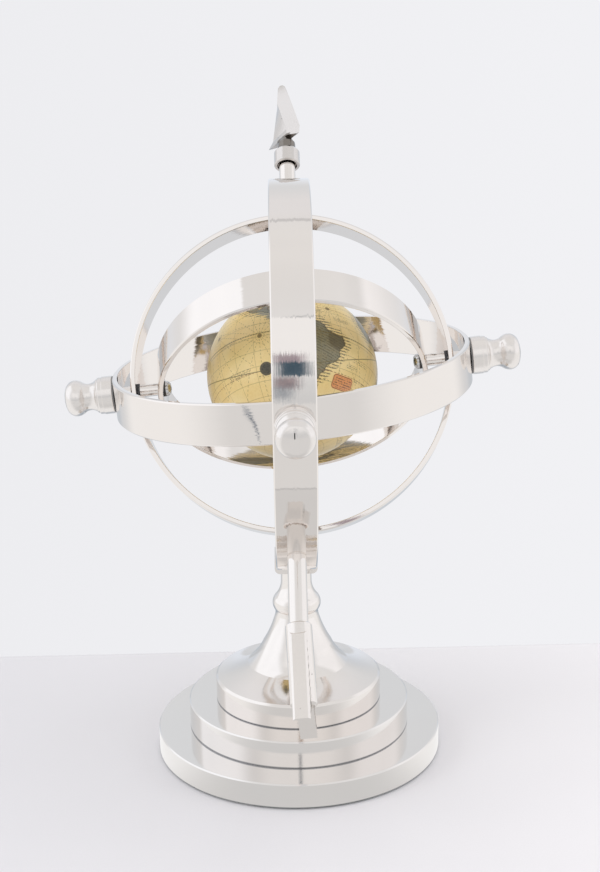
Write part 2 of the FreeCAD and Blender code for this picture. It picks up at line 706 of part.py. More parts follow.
# ---------------------------------------------------------------- globe
BUSH_STANDOUT = 1.1  # the bush flange ends this far outside the globe's radius
COLLAR_START = dim.globerad + BUSH_STANDOUT + 0.2
COLLAR_MIDDLE = COLLAR_START + dim.collarlong / 2
SET_SCREW_RADIUS = 1.5
SET_SCREW_INSET = 0.4  # depth of the set screw below the collar's surface
SOCKET_RADIUS = 0.75
SOCKET_DEPTH = 1.0
ENDS = (("upper", 1), ("lower", -1))


def height_on_sphere(radius, across):
    """Distance from the centre at which a sphere has the radius across."""
    value = math.sqrt(radius.value ** 2 - across.value ** 2)
    return Dim(value, "sqrt((%s) ^ 2 - (%s) ^ 2)" % (radius.text, across.text))


def build_globe_ball():
    globe = body("globe_ball", AT_ARROW)
    outer, inner = dim.globerad, dim.globerad - dim.globewall
    hole = dim.bushrad + dim.fixfit
    high, low = height_on_sphere(outer, hole), height_on_sphere(inner, hole)
    revolve(globe, "globe_shell", [
        (hole, -high, outer), (hole, high), (hole, low, -inner), (hole, -low),
    ])


def build_globe_bushes():
    """Flanged bushes in the two poles: the globe turns on the arrow's shaft in them."""
    bore, radius, pole = dim.shaftrad + dim.runfit, dim.bushrad, dim.globerad
    points = [
        (bore, pole - 6.5), (radius, pole - 6.5), (radius, pole - 0.57),
        (radius + 1.6, pole - 0.57), (radius + 1.6, pole + 0.5),
        (radius + 0.9, pole + BUSH_STANDOUT), (bore, pole + BUSH_STANDOUT),
    ]
    for word, turn in ENDS:
        turned(word + "_globe_bush", facing(points, turn), AT_ARROW)


def build_shaft_collars():
    """Set-screw collars hold the globe endways on the shaft."""
    first, last = COLLAR_START, COLLAR_START + dim.collarlong
    radius = dim.collarrad
    points = [
        (SHAFT_HOLE, first), (radius - 0.6, first), (radius, first + 0.6),
        (radius, last - 0.6), (radius - 0.6, last), (SHAFT_HOLE, last),
    ]
    for word, turn in ENDS:
        label = word + "_shaft_collar"
        collar = turned(label, facing(points, turn), AT_ARROW)
        bore_across(collar, "XZ_Plane", label + "_tapping", dim.fixfit + SET_SCREW_RADIUS,
                    y=COLLAR_MIDDLE * turn, both=False)


def build_set_screws():
    """The two M3 set screws, one in each collar, are one group."""
    low = SHAFT_HOLE.value
    high = dim.collarrad.value - SET_SCREW_INSET
    along = V(0, 1, 0)
    solids = []
    for _, turn in ENDS:
        z = turn * COLLAR_MIDDLE.value
        pin = Part.makeCylinder(SET_SCREW_RADIUS, high - low, V(0, low, z), along)
        socket = Part.makeCylinder(SOCKET_RADIUS, SOCKET_DEPTH,
                                   V(0, high - SOCKET_DEPTH, z), along)
        solids.append(pin.cut(socket))
    group = doc.addObject("Part::Feature", "collar_set_screws")
    group.Label = "collar_set_screws"
    group.Shape = Part.Compound(solids)
    group.Placement = AT_ARROW
    pieces.append(group)


# ---------------------------------------------------------------- build and export
def check():
    faults = []
    for item in doc.Objects:
        if "Invalid" in item.State or "Error" in item.State:
            faults.append("%s is %s" % (item.Name, item.State))
    for piece in pieces:
        shape = piece.Shape
        if shape.isNull() or not shape.isValid() or not shape.Solids:
            faults.append("%s has no valid solid" % piece.Label)
        elif piece.Label != "collar_set_screws" and len(shape.Solids) != 1:
            faults.append("%s has %d solids" % (piece.Label, len(shape.Solids)))
    if faults:
        raise RuntimeError("; ".join(faults))


build_discs()
build_bell_pedestal()
build_tie_rod()
build_meridian_ring()
build_saddle()
build_saddle_screw()
build_moving_rings()
build_pivots()
build_arrow_shaft()
build_arrow_head()
build_arrow_tail()
build_globe_ball()
build_globe_bushes()
build_shaft_collars()
build_set_screws()

doc.recompute()
check()
os.makedirs("parts", exist_ok=True)
for piece in pieces:
    piece.Shape.exportStep("parts/%s.step" % piece.Label)
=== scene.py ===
# Armillary sphere: a globe on a slanting arrow shaft inside four polished hoops, on a turned stand.
# +Z is up, the front faces -Y and left is -X. The stand's axis is the Z axis and its foot is at
# Z = 0. Shapes are written in millimetres and built in metres; shader lengths are in metres.
import json
import math

import bpy
import numpy as np
from mathutils import Matrix, Vector
from mathutils.kdtree import KDTree


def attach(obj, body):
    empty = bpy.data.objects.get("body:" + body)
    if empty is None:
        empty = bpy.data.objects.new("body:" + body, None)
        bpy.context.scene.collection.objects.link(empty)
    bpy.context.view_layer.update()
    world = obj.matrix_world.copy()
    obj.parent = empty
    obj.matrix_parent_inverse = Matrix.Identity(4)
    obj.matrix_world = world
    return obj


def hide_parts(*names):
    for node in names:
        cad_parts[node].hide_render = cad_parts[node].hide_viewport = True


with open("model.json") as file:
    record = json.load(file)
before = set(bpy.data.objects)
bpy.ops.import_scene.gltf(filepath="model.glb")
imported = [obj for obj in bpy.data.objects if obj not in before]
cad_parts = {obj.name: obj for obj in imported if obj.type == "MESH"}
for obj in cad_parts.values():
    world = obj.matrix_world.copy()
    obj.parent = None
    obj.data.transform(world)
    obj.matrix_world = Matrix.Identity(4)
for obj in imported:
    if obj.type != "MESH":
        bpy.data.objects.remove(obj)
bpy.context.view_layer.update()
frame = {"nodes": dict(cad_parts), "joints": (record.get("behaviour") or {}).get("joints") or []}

NODES = frame["nodes"]
JOINTS = {joint["name"]: joint for joint in frame["joints"]}
MM = 0.001
MM_PER_METRE = 1000.0
DEGREES = 180 / math.pi

# ---------------------------------------------------------------- sizes shared between pieces
MERIDIAN_RADIUS = 123.0
EQUATOR_RADIUS = 113.0
SCREW_BORE = 2.52          # radius, through the two outer hoops and the knobs
PIVOT_BORE = 2.55          # radius, through the three inner hoops
SHAFT_BORE = 5.47          # radius, where the arrow passes the meridian ring
BASE_TOP = 17.3
MIDDLE_TOP = 35.5
DISC_BORE = 4.2
DISC_EDGE = 0.8            # bevel on the upper rim of both discs
GLOBE_RADIUS = 54.0
GLOBE_WALL = 2.6
GLOBE_BORE = 8.02
CAMERA_AT = Vector((-7.4718, -954.4396, 484.6356)) * MM


# ---------------------------------------------------------------- directions and placements
def unit(vector):
    vector = np.array(vector, float)
    return vector / max(np.linalg.norm(vector), 1e-12)


X_AXIS, Y_AXIS, Z_AXIS = np.eye(3)
CENTRE = np.array(JOINTS["equator_tilt"]["pos_m"]) * MM_PER_METRE
HINGE = -unit(JOINTS["colure_swing"]["axis"])
HINGE_UP = np.cross(HINGE, Y_AXIS)
ARROW = unit(JOINTS["globe_spin"]["axis"])
COLURE_LEAN = math.radians(23.5)
ECLIPTIC_RISE = math.radians(52.5)
COLURE_AXIS = -Y_AXIS * math.cos(COLURE_LEAN) + HINGE_UP * math.sin(COLURE_LEAN)
ECLIPTIC_AXIS = Y_AXIS * math.sin(ECLIPTIC_RISE) + HINGE_UP * math.cos(ECLIPTIC_RISE)


def placed(x_axis, y_axis, z_axis):
    """Matrix that stands these local axes at the globe's centre."""
    matrix = np.eye(4)
    matrix[:3] = np.column_stack((x_axis, y_axis, z_axis, CENTRE))
    return matrix


def placed_about(axis, x_axis):
    return placed(x_axis, np.cross(axis, x_axis), axis)


AT_BASE = np.eye(4)
AT_MERIDIAN = placed_about(X_AXIS, Y_AXIS)
AT_EQUATOR = placed(HINGE, Y_AXIS, HINGE_UP)
AT_COLURE = placed_about(COLURE_AXIS, HINGE)
AT_ECLIPTIC = placed_about(ECLIPTIC_AXIS, HINGE)
AT_ARROW = placed_about(ARROW, X_AXIS)


# ---------------------------------------------------------------- meshes
def mesh_object(name, points, faces):
    mesh = bpy.data.meshes.new(name)
    mesh.from_pydata(points, [], faces)
    result = bpy.data.objects.new(name, mesh)
    bpy.context.scene.collection.objects.link(result)
    return result


class Surface:
    """Collects faces whose corners are (point index, normal, surface coordinate)."""

    def __init__(self):
        self.points, self.faces, self.normals, self.uvs = [], [], [], []

    def point(self, position):
        self.points.append(position)
        return len(self.points) - 1

    def face(self, corners):
        indices, normals, uvs = zip(*corners)
        self.faces.append(indices)
        self.normals.extend(normals)
        self.uvs.extend(uvs)

    def build(self, name, at):
        points = np.array(self.points, float) @ at[:3, :3].T + at[:3, 3]
        normals = np.array(self.normals, float) @ at[:3, :3].T
        normals /= np.maximum(np.linalg.norm(normals, axis=1), 1e-12)[:, None]
        result = mesh_object(name, (points * MM).tolist(), self.faces)
        mesh = result.data
        mesh.polygons.foreach_set("use_smooth", [True] * len(mesh.polygons))
        uvs = (np.array(self.uvs, float) * MM).astype(np.float32)
        mesh.uv_layers.new(name="UVMap").data.foreach_set("uv", uvs.ravel())
        mesh.normals_split_custom_set(normals.tolist())
        mesh.update()
        return result


def add_piece(node, surface, at, material, body):
    """Build the detailed mesh that stands in for one CAD node."""
    piece = surface.build("visual_" + node, at)
    piece.data.materials.append(material)
    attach(piece, body)
    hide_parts(node)
    return piece


# ---------------------------------------------------------------- turned solids
def right_of(direction):
    return np.array([direction[1], -direction[0]])


def turned_by(vector, angle):
    cosine, sine = math.cos(angle), math.sin(angle)
    x, y = vector
    return np.array([x * cosine - y * sine, x * sine + y * cosine])


def rounded(corners):
    """Turn a closed outline of (x, y, fillet) into (point, normal) pairs.

    A fillet of None is a point of a smooth curve. A fillet of 0 stays sharp and has no normal.
    """
    outline = []
    for i, (x, y, fillet) in enumerate(corners):
        here = np.array([x, y], float)
        arriving = here - corners[i - 1][:2]
        leaving = corners[(i + 1) % len(corners)][:2] - here
        length_in, length_out = np.linalg.norm(arriving), np.linalg.norm(leaving)
        way_in, way_out = unit(arriving), unit(leaving)
        if fillet is None:
            outline.append((here, right_of(unit(way_in * length_out + way_out * length_in))))
            continue
        turn = math.acos(float(np.clip(way_in @ way_out, -1, 1)))
        if turn < 0.02:
            outline.append((here, right_of(unit(way_in + way_out))))
            continue
        if fillet <= 0:
            outline.append((here, None))
            continue
        cut = min(fillet * math.tan(turn / 2), min(length_in, length_out) * 0.49)
        radius = cut / math.tan(turn / 2)
        start = here - way_in * cut
        side = 1.0 if way_in[0] * way_out[1] - way_in[1] * way_out[0] > 0 else -1.0
        centre = start - side * radius * right_of(way_in)
        steps = max(3, int(math.ceil(turn / math.radians(14))))
        for k in range(steps + 1):
            angle = turn * k / steps * side
            outline.append((centre + turned_by(start - centre, angle),
                            right_of(turned_by(way_in, angle))))
    return outline


def with_arcs(points, fillet, arc_step):
    """Corners for rounded(), from a closed list of (r, z) and (r, z, arc radius).

    Two numbers start a straight run to the next point and three start an arc to it, whose
    centre is on the left for a positive radius. arc_step is in degrees.
    """
    corners = []
    for i, (x, y, *arc) in enumerate(points):
        next_x, next_y = points[(i + 1) % len(points)][:2]
        corners.append((x, y, 0.0 if x < 1e-6 else fillet))
        if not arc:
            continue
        run_x, run_y = next_x - x, next_y - y
        half = math.hypot(run_x, run_y) / 2
        side = 1.0 if arc[0] > 0 else -1.0
        radius = abs(arc[0])
        height = math.sqrt(max(radius * radius - half * half, 0.0))
        centre_x = (x + next_x) / 2 - side * run_y / (2 * half) * height
        centre_y = (y + next_y) / 2 + side * run_x / (2 * half) * height
        start = math.atan2(y - centre_y, x - centre_x)
        sweep = 2 * math.asin(min(1.0, half / radius)) * side
        count = max(3, int(math.ceil(math.degrees(abs(sweep)) / arc_step)))
        for k in range(1, count):
            angle = start + sweep * k / count
            corners.append((centre_x + radius * math.cos(angle),
                            centre_y + radius * math.sin(angle), None))
    return corners


def lathe(points, segments, fillet, arc_step=4.0):
    """Solid turned about local Z. The outline runs so that the solid is on its left."""
    outline = rounded(with_arcs(points, fillet, arc_step))
    surface = Surface()
    angles = np.linspace(0, 2 * math.pi, segments, endpoint=False)
    cosines, sines = np.cos(angles), np.sin(angles)
    rows, lengths, run = [], [], 0.0
    for i, ((radius, z), _) in enumerate(outline):
        if i:
            run += float(np.linalg.norm(outline[i][0] - outline[i - 1][0]))
        lengths.append(run)
        if radius < 1e-6:
            rows.append([surface.point((0, 0, z))])
        else:
            rows.append([surface.point((radius * cosines[j], radius * sines[j], z))
                         for j in range(segments)])
    widest = max(point[0] for point, _ in outline)

    def corners(row, normal, flat, length, j, ends):
        if len(row) == 1:
            return [(row[0], (0, 0, flat[1]), (2 * math.pi * widest * (j + 0.5) / segments, length))]
        result = []
        for end in ends:
            k = (j + end) % segments
            result.append((row[k], (normal[0] * cosines[k], normal[0] * sines[k], normal[1]),
                           (2 * math.pi * widest * (j + end) / segments, length)))
        return result

    for i, (start, start_normal) in enumerate(outline):
        following = (i + 1) % len(outline)
        end, end_normal = outline[following]
        gap = float(np.linalg.norm(end - start))
        if gap < 1e-7 or len(rows[i]) == len(rows[following]) == 1:
            continue
        end_length = lengths[following] if following else run + gap
        # a run keeps its own normal beside an unrounded corner
        flat = right_of(unit(end - start))
        first = flat if start_normal is None else start_normal
        last = flat if end_normal is None else end_normal
        for j in range(segments):
            surface.face(corners(rows[i], first, flat, lengths[i], j, (0, 1))
                         + corners(rows[following], last, flat, end_length, j, (1, 0)))
    return surface


# ---------------------------------------------------------------- hoops of strip
STRIP_HALF = 25.4 / 2
STRIP_THICK = 3.2
STRIP_EDGE = 0.45          # rounding of the two inner edges
STRIP_RIM = 0.85           # bevel of the two outer edges
# the bevel as (share of its size, direction of its normal in degrees)
RIM_BEVEL = [(0.12, 39.0), (0.5, 45.0), (0.88, 51.0), (1.0, 90.0)]
HOOP_STEPS = 360
FACE_STEPS = 12            # across the outer and the inner face
HOLE_SPAN = 7              # hoop steps left open on either side of a hole
PATCH_SHARES = (0.66, 0.36, 0.14, 0.0)   # rings of a patch, from its border to the hole
HOLE_BEVEL = 0.22


def strip_section(radius):
    """Closed section of (r, z, normal r, normal z), and where its inner face starts and ends."""
    inner = radius - STRIP_THICK
    outer_half, inner_half = STRIP_HALF - STRIP_RIM, STRIP_HALF - STRIP_EDGE
    upper = []
    for share, degrees in RIM_BEVEL:
        angle = math.radians(degrees)
        upper.append((radius - STRIP_RIM * share, outer_half + STRIP_RIM * share,
                      math.cos(angle), math.sin(angle)))
    for k in range(5):
        cosine, sine = math.cos(math.pi / 2 * k / 4), math.sin(math.pi / 2 * k / 4)
        upper.append((inner + STRIP_EDGE - STRIP_EDGE * sine, inner_half + STRIP_EDGE * cosine,
                      -sine, cosine))
    section = [(radius, -outer_half + 2 * outer_half * k / FACE_STEPS, 1.0, 0.0)
               for k in range(FACE_STEPS + 1)]
    section += upper
    inner_first = len(section) - 1
    section += [(inner, inner_half - 2 * inner_half * k / FACE_STEPS, -1.0, 0.0)
                for k in range(1, FACE_STEPS + 1)]
    inner_last = len(section) - 1
    section += [(r, -z, normal_r, -normal_z) for r, z, normal_r, normal_z in upper[-2::-1]]
    return section, inner_first, inner_last


def hole_step(degrees):
    return int(round(degrees / 360 * HOOP_STEPS))


def hole_border(middle, low, high):
    """(hoop step, section index) round an open patch, anticlockwise in (along, across)."""
    step = 1 if high > low else -1
    span = range(-HOLE_SPAN, HOLE_SPAN)
    border = [(middle + offset, low) for offset in span]
    border += [(middle + HOLE_SPAN, k) for k in range(low, high, step)]
    border += [(middle - offset, high) for offset in span]
    border += [(middle - HOLE_SPAN, k) for k in range(high, low, -step)]
    return [(j % HOOP_STEPS, k) for j, k in border]


def hole_patch(surface, grid, section, border, hole_angle, face_radius, sign, opening, uv_at):
    """Fill from the open border to a round rim; sign is 1 on the outer face, -1 on the inner.

    Returns the rim as (point index, along, across).
    """
    layer = []
    for j, k in border:
        offset = (2 * math.pi * j / HOOP_STEPS - hole_angle + math.pi) % (2 * math.pi) - math.pi
        layer.append((grid[j][k], face_radius * math.sin(offset), section[k][1]))
    outermost = layer

    def hoop_angle(along):
        return hole_angle + math.asin(along / face_radius)

    def corner(index, along, across):
        angle = hoop_angle(along)
        return index, (sign * math.cos(angle), sign * math.sin(angle), 0.0), uv_at(angle, across)

    for share in PATCH_SHARES:
        inside = []
        for _, x, z in outermost:
            around = math.atan2(z, x)
            rim_x, rim_z = opening * math.cos(around), opening * math.sin(around)
            along, across = rim_x + (x - rim_x) * share, rim_z + (z - rim_z) * share
            angle = hoop_angle(along)
            inside.append((surface.point((face_radius * math.cos(angle),
                                          face_radius * math.sin(angle), across)), along, across))
        for i in range(len(layer)):
            after = (i + 1) % len(layer)
            corners = [layer[i], layer[after], inside[after], inside[i]]
            surface.face([corner(*entry) for entry in corners[::sign]])
        layer = inside
    return layer


def hole_wall(surface, radius, hole_angle, bore, sink, outer_rim, inner_rim):
    """Rim bevels, straight bore and, for a non-zero sink radius, a countersink inside."""
    inner = radius - STRIP_THICK
    outward = np.array([math.cos(hole_angle), math.sin(hole_angle), 0.0])
    along = np.array([-math.sin(hole_angle), math.cos(hole_angle), 0.0])
    radials = []
    for _, x, z in outer_rim:
        around = math.atan2(z, x)
        radials.append(along * math.cos(around) + Z_AXIS * math.sin(around))
    # (radius, distance from the hoop's axis) of each ring down the hole
    levels = [(bore, radius - 0.25)]
    levels += [(bore, inner + 0.35), (sink, inner + 0.2)] if sink else [(bore, inner + 0.25)]
    stack = [[entry[0] for entry in outer_rim]]
    for level_radius, depth in levels:
        stack.append([surface.point(tuple(outward * depth + radial * level_radius))
                      for radial in radials])
    stack.append([entry[0] for entry in inner_rim])
    for level, (upper, lower) in enumerate(zip(stack, stack[1:])):
        for i in range(len(upper)):
            after = (i + 1) % len(upper)
            indices = [upper[i], upper[after], lower[after], lower[i]]
            corners = [np.array(surface.points[index]) for index in indices]
            flat = tuple(unit(np.cross(corners[2] - corners[0], corners[3] - corners[1])))
            normals = [flat] * 4
            if level == 1:
                # the bore is shaded as a smooth cylinder
                normals = [tuple(-radials[k]) for k in (i, after, after, i)]
            surface.face(zip(indices, normals, [(0, 0)] * 4))


def strip_ring(radius, holes):
    """Hoop of strip about local Z. holes are (degrees, radius, countersink radius or 0)."""
    surface = Surface()
    section, inner_first, inner_last = strip_section(radius)
    run = [0.0]
    for here, following in zip(section, section[1:] + section[:1]):
        run.append(run[-1] + math.hypot(here[0] - following[0], here[1] - following[1]))
    angles = [2 * math.pi * j / HOOP_STEPS for j in range(HOOP_STEPS + 1)]
    grid = [[surface.point((r * math.cos(angle), r * math.sin(angle), z)) for r, z, *_ in section]
            for angle in angles[:-1]]
    open_steps = {(hole_step(degrees) + offset) % HOOP_STEPS
                  for degrees, _, _ in holes for offset in range(-HOLE_SPAN, HOLE_SPAN)}

    def corner(j, k, length):
        at = k % len(section)
        angle, (_, _, normal_r, normal_z) = angles[j], section[at]
        normal = (normal_r * math.cos(angle), normal_r * math.sin(angle), normal_z)
        return grid[j % HOOP_STEPS][at], normal, (radius * angle, length)

    for j in range(HOOP_STEPS):
        for k in range(len(section)):
            if j in open_steps and (k < FACE_STEPS or inner_first <= k < inner_last):
                continue
            surface.face([corner(j, k, run[k]), corner(j + 1, k, run[k]),
                          corner(j + 1, k + 1, run[k + 1]), corner(j, k + 1, run[k + 1])])

    faces = [(radius, 1, 0, FACE_STEPS), (radius - STRIP_THICK, -1, inner_last, inner_first)]
    for degrees, bore, sink in holes:
        hole_angle = math.radians(degrees)
        rims = []
        for face_radius, sign, low, high in faces:
            middle_run = run[(low + high) // 2]

            def uv_at(angle, across):
                return radius * angle, middle_run + sign * across

            opening = (sink if sink and sign < 0 else bore) + HOLE_BEVEL
            border = hole_border(hole_step(degrees), low, high)
            rims.append(hole_patch(surface, grid, section, border, hole_angle, face_radius,
                                   sign, opening, uv_at))
        hole_wall(surface, radius, hole_angle, bore, sink, *rims)
    return surface


# ---------------------------------------------------------------- shader nodes
class Wire:
    """A node's output. Arithmetic and comparisons written with it add Math nodes."""

    def __init__(self, net, socket):
        self.net, self.socket = net, socket

    def __add__(self, other):
        return self.net.math("ADD", self, other)

    def __radd__(self, other):
        return self.net.math("ADD", other, self)

    def __sub__(self, other):
        return self.net.math("SUBTRACT", self, other)

    def __rsub__(self, other):
        return self.net.math("SUBTRACT", other, self)

    def __mul__(self, other):
        return self.net.math("MULTIPLY", self, other)

    def __truediv__(self, other):
        return self.net.math("DIVIDE", self, other)

    def __lt__(self, other):
        return self.net.math("LESS_THAN", self, other)

    def __gt__(self, other):
        return self.net.math("GREATER_THAN", self, other)

    def __abs__(self):
        return self.net.math("ABSOLUTE", self)

    def vary(self, by, base, about=0.5, clamp=False):
        """base, plus by times the distance from about."""
        return self.net.math("MULTIPLY_ADD", self - about, by, base, clamp=clamp)

    def step(self, edge, soft=0.0):
        """0 before the edge and 1 after it, blended over soft on either side."""
        if soft <= 0:
            return self > edge
        return self.net.add("MapRange", {0: self, 1: edge - soft, 2: edge + soft},
                            interpolation_type="SMOOTHSTEP")

    def below(self, edge, soft):
        return 1.0 - self.step(edge, soft)

    def band(self, low, high, soft=0.0, soft_high=None):
        """1 between low and high."""
        upper_soft = soft if soft_high is None else soft_high
        return self.net.math("SUBTRACT", self.step(low, soft), self.step(high, upper_soft),
                             clamp=True)

    def remap(self, low, high, to=(0, 1)):
        return self.net.add("MapRange", {0: self, 1: low, 2: high, 3: to[0], 4: to[1]})

    def dashes(self, period, share):
        return self.net.math("FRACT", self / period) < share

    def dot(self, direction):
        return self.net.vector("DOT_PRODUCT", self, tuple(direction))


class Net:
    """Adds nodes to an emptied node tree."""

    def __init__(self, tree):
        self.tree = tree
        tree.nodes.clear()

    def node(self, kind, inputs=None, **settings):
        """inputs maps a socket's name or number to a Wire or a value."""
        node = self.tree.nodes.new("ShaderNode" + kind)
        for key, value in settings.items():
            setattr(node, key, value)
        for key, value in (inputs or {}).items():
            socket = node.inputs[key]
            if isinstance(value, Wire):
                self.tree.links.new(value.socket, socket)
            else:
                socket.default_value = (*value, 1.0) if socket.type == "RGBA" else value
        return node

    def add(self, kind, inputs=None, output=0, **settings):
        return Wire(self, self.node(kind, inputs, **settings).outputs[output])

    def math(self, operation, *values, clamp=False):
        return self.add("Math", dict(enumerate(values)), operation=operation, use_clamp=clamp)

    def vector(self, operation, *values):
        output = "Value" if operation in ("DOT_PRODUCT", "LENGTH") else 0
        return self.add("VectorMath", dict(enumerate(values)), output, operation=operation)

    def scale(self, vector, factor):
        return self.add("VectorMath", {0: vector, "Scale": factor}, operation="SCALE")

    def mix(self, factor, first, second):
        return self.add("Mix", {0: factor, 6: first, 7: second}, 2, data_type="RGBA")

    def mix_value(self, factor, first, second):
        return self.add("Mix", {0: factor, 2: first, 3: second}, data_type="FLOAT")

    def mix_shader(self, factor, first, second):
        return self.add("MixShader", {0: factor, 1: first, 2: second})

    def noise(self, vector, scale, detail, rough):
        return self.add("TexNoise", {"Vector": vector, "Scale": scale, "Detail": detail,
                                     "Roughness": rough})

    def streaks(self, vector, stretch, detail, rough):
        """Noise with its own scale along each axis."""
        stretched = self.add("Mapping", {"Vector": vector, "Scale": stretch})
        return self.noise(stretched, scale=1.0, detail=detail, rough=rough)

    def xyz(self, vector):
        return [Wire(self, socket) for socket in self.node("SeparateXYZ", {0: vector}).outputs]

    def hypot(self, x, y):
        return self.math("SQRT", x * x + y * y)

    def azimuth(self, x, y):
        """Degrees round from the front, positive to the right."""
        return self.math("ARCTAN2", x, y * -1.0) * DEGREES

    def principled(self, inputs):
        self.node("OutputMaterial", {0: self.add("BsdfPrincipled", inputs)})


def new_material(name, net_kind=Net):
    material = bpy.data.materials.new(name)
    material.use_nodes = True
    return material, net_kind(material.node_tree)


def srgb(*channels):
    """Linear colour from 0-255 channels."""
    shares = [channel / 255.0 for channel in channels]
    return tuple(share / 12.92 if share <= 0.04045 else ((share + 0.055) / 1.055) ** 2.4
                 for share in shares)


# ---------------------------------------------------------------- metals
def metal(name, color, rough, lines, bump, stain, solid=False, cloud=0.0, pits=0.0, sweep=0.0,
          overlay=None):
    """Plated metal: polishing lines, slow tone drift, clouding and pits.

    lines are the scales of the fine noise along and across the surface coordinate, or in space
    for a solid. overlay(net, color, place, slow) paints last.
    """
    material, net = new_material(name)
    coordinates = net.node("TexCoord")
    place = Wire(net, coordinates.outputs["Object"])
    skin = place if solid else Wire(net, coordinates.outputs["UV"])
    fine = net.streaks(skin, (*lines, lines[0] if solid else 1.0), detail=2.0, rough=0.6)
    slow = net.noise(place, scale=22.0, detail=3.0, rough=0.5)
    drift = net.noise(place, scale=9.0, detail=2.0, rough=0.5)
    tone = fine.vary(by=stain, base=slow.vary(by=stain * 2, base=1.0))
    cool = net.scale(color, tone)
    warm = net.vector("MULTIPLY", cool, (1.0, 0.985, 0.972))
    painted = net.mix(drift.remap(0.35, 0.65, to=(0.0, 0.5)), cool, warm)
    roughness = slow.vary(by=rough * 0.6, base=rough, about=0.45)
    roughness = fine.vary(by=rough * 0.5, base=roughness, clamp=True)
    height = fine
    if pits > 0:
        cells = net.add("TexVoronoi", {"Vector": place, "Scale": 330.0}, "Distance", feature="F1")
        chosen = net.noise(place, scale=120.0, detail=1.0, rough=0.5)
        pit = (cells < 0.17) * (chosen > 0.66)
        painted = net.mix(pit * pits, painted, (0.10, 0.09, 0.09))
        roughness = net.mix_value(pit, roughness, 0.6)
        height = height - pit * 1.5
    if cloud > 0:
        clouding = net.noise(place, scale=160.0, detail=2.0, rough=0.5)
        height = net.math("MULTIPLY_ADD", clouding, cloud, height)
    bumps = {"Strength": bump, "Distance": 0.001, "Height": height}
    if sweep > 0:
        # each polishing line throws its reflection a different way along the strip
        line = net.streaks(skin, (9.0, 1000.0, 1.0), detail=3.0, rough=0.75)
        tangent = net.add("Tangent", direction_type="UV_MAP", uv_map="UVMap")
        shift = net.scale(tangent, (line - 0.5) * sweep)
        normal = net.add("NewGeometry", output="Normal")
        bumps["Normal"] = net.vector("NORMALIZE", net.vector("ADD", normal, shift))
    if overlay:
        painted = overlay(net, painted, place, slow)
    net.principled({"Base Color": painted, "Roughness": roughness,
                    "Normal": net.add("Bump", bumps), "Metallic": 1.0})
    return material


def corner_shade_line(low, high, depth):
    """Painted shade: dark line between two heights, in the corner between two turned pieces where
    shade falls.
    """
    def paint(net, painted, place, slow):
        height = net.xyz(place)[2] + (slow - 0.5) * 0.0006
        line = height.band(low * MM, high * MM, soft=0.0003)
        return net.mix(line * depth, painted, (0.16, 0.18, 0.21))
    return paint


def crown_slot_shade(net, painted, place, slow):
    """Painted shade of a short narrow upright slot in the middle of the front knob's crown."""
    x, y, z = net.xyz(place)
    slot = x.band(-0.00085, -0.00025) * z.band(0.2566, 0.2600)
    return net.mix(slot * (y < -0.1535), painted, (0.012, 0.012, 0.014))


def head_shade(net, painted, place, slow):
    """Painted shade: dark patch in the hollow close to the arrow's axis, across the arrow head."""
    own_place = net.add("TexCoord", output="Object")
    offset = net.vector("SUBTRACT", own_place, tuple(CENTRE * MM))
    along = offset.dot(ARROW)
    away = net.vector("LENGTH", net.vector("SUBTRACT", offset, net.scale(tuple(ARROW), along)))
    patch = along.band(0.1730, 0.1840, soft=0.0004) * away.below(0.0069, soft=0.0005)
    return net.mix(patch * 0.8, painted, (0.14, 0.12, 0.10))


def polished(name, color, overlay):
    return metal(name, color, rough=0.08, lines=(160.0, 5200.0), bump=0.012, stain=0.02,
                 overlay=overlay)


def turned(name, pits, overlay=None):
    return metal(name, (0.85, 0.815, 0.79), rough=0.17, lines=(200.0, 5200.0), bump=0.04,
                 stain=0.06, cloud=0.5, pits=pits, overlay=overlay)


def cast(name, color, rough, overlay=None):
    return metal(name, color, rough, lines=(500.0, 500.0), bump=0.05, stain=0.05, solid=True,
                 cloud=1.0, pits=0.3, overlay=overlay)


DISC_COLOR = (0.855, 0.832, 0.815)
STRIP = metal("polished_strip", (0.872, 0.832, 0.802), rough=0.035, lines=(40.0, 2600.0),
              bump=0.004, stain=0.015, sweep=0.06)
# each of the next three materials paints a shade line into the corner at a piece's foot
POLISHED = polished("polished_nickel", (0.862, 0.825, 0.796), corner_shade_line(34.9, 36.3, depth=0.75))
DISC = polished("polished_disc", DISC_COLOR, corner_shade_line(-1.0, 1.9, depth=0.5))
MIDDLE = polished("polished_middle", DISC_COLOR, corner_shade_line(16.9, 18.2, depth=0.7))
SLOTTED = turned("turned_nickel_slot_shade", pits=0.0, overlay=crown_slot_shade)
TURNED = turned("turned_nickel", pits=0.85)
CAST = cast("cast_nickel", (0.86, 0.82, 0.79), rough=0.11)
SCREW = metal("screw_steel", (0.66, 0.67, 0.68), rough=0.16, lines=(1500.0, 1500.0), bump=0.03,
              stain=0.08, solid=True)
PLAIN = metal("plain_steel", (0.55, 0.55, 0.56), rough=0.3, lines=(1200.0, 1200.0), bump=0.08,
              stain=0.12, solid=True)


# ---------------------------------------------------------------- fibre, plastic and felt
def dull(name, color, rough, scale, bump, variation=0.3, sheen=0.0):
    material, net = new_material(name)
    place = net.add("TexCoord", output="Object")
    grain = net.noise(place, scale=scale, detail=5.0, rough=0.65)
    patches = net.noise(place, scale=scale * 0.12, detail=2.0, rough=0.5)
    tone = patches.vary(by=variation, base=grain.vary(by=variation * 2, base=1.0))
    net.principled({
        "Base Color": net.scale(color, tone),
        "Roughness": grain.vary(by=0.3, base=rough, clamp=True),
        "Normal": net.add("Bump", {"Strength": bump, "Distance": 0.0005, "Height": grain}),
        "Sheen Weight": sheen,
    })
    return material


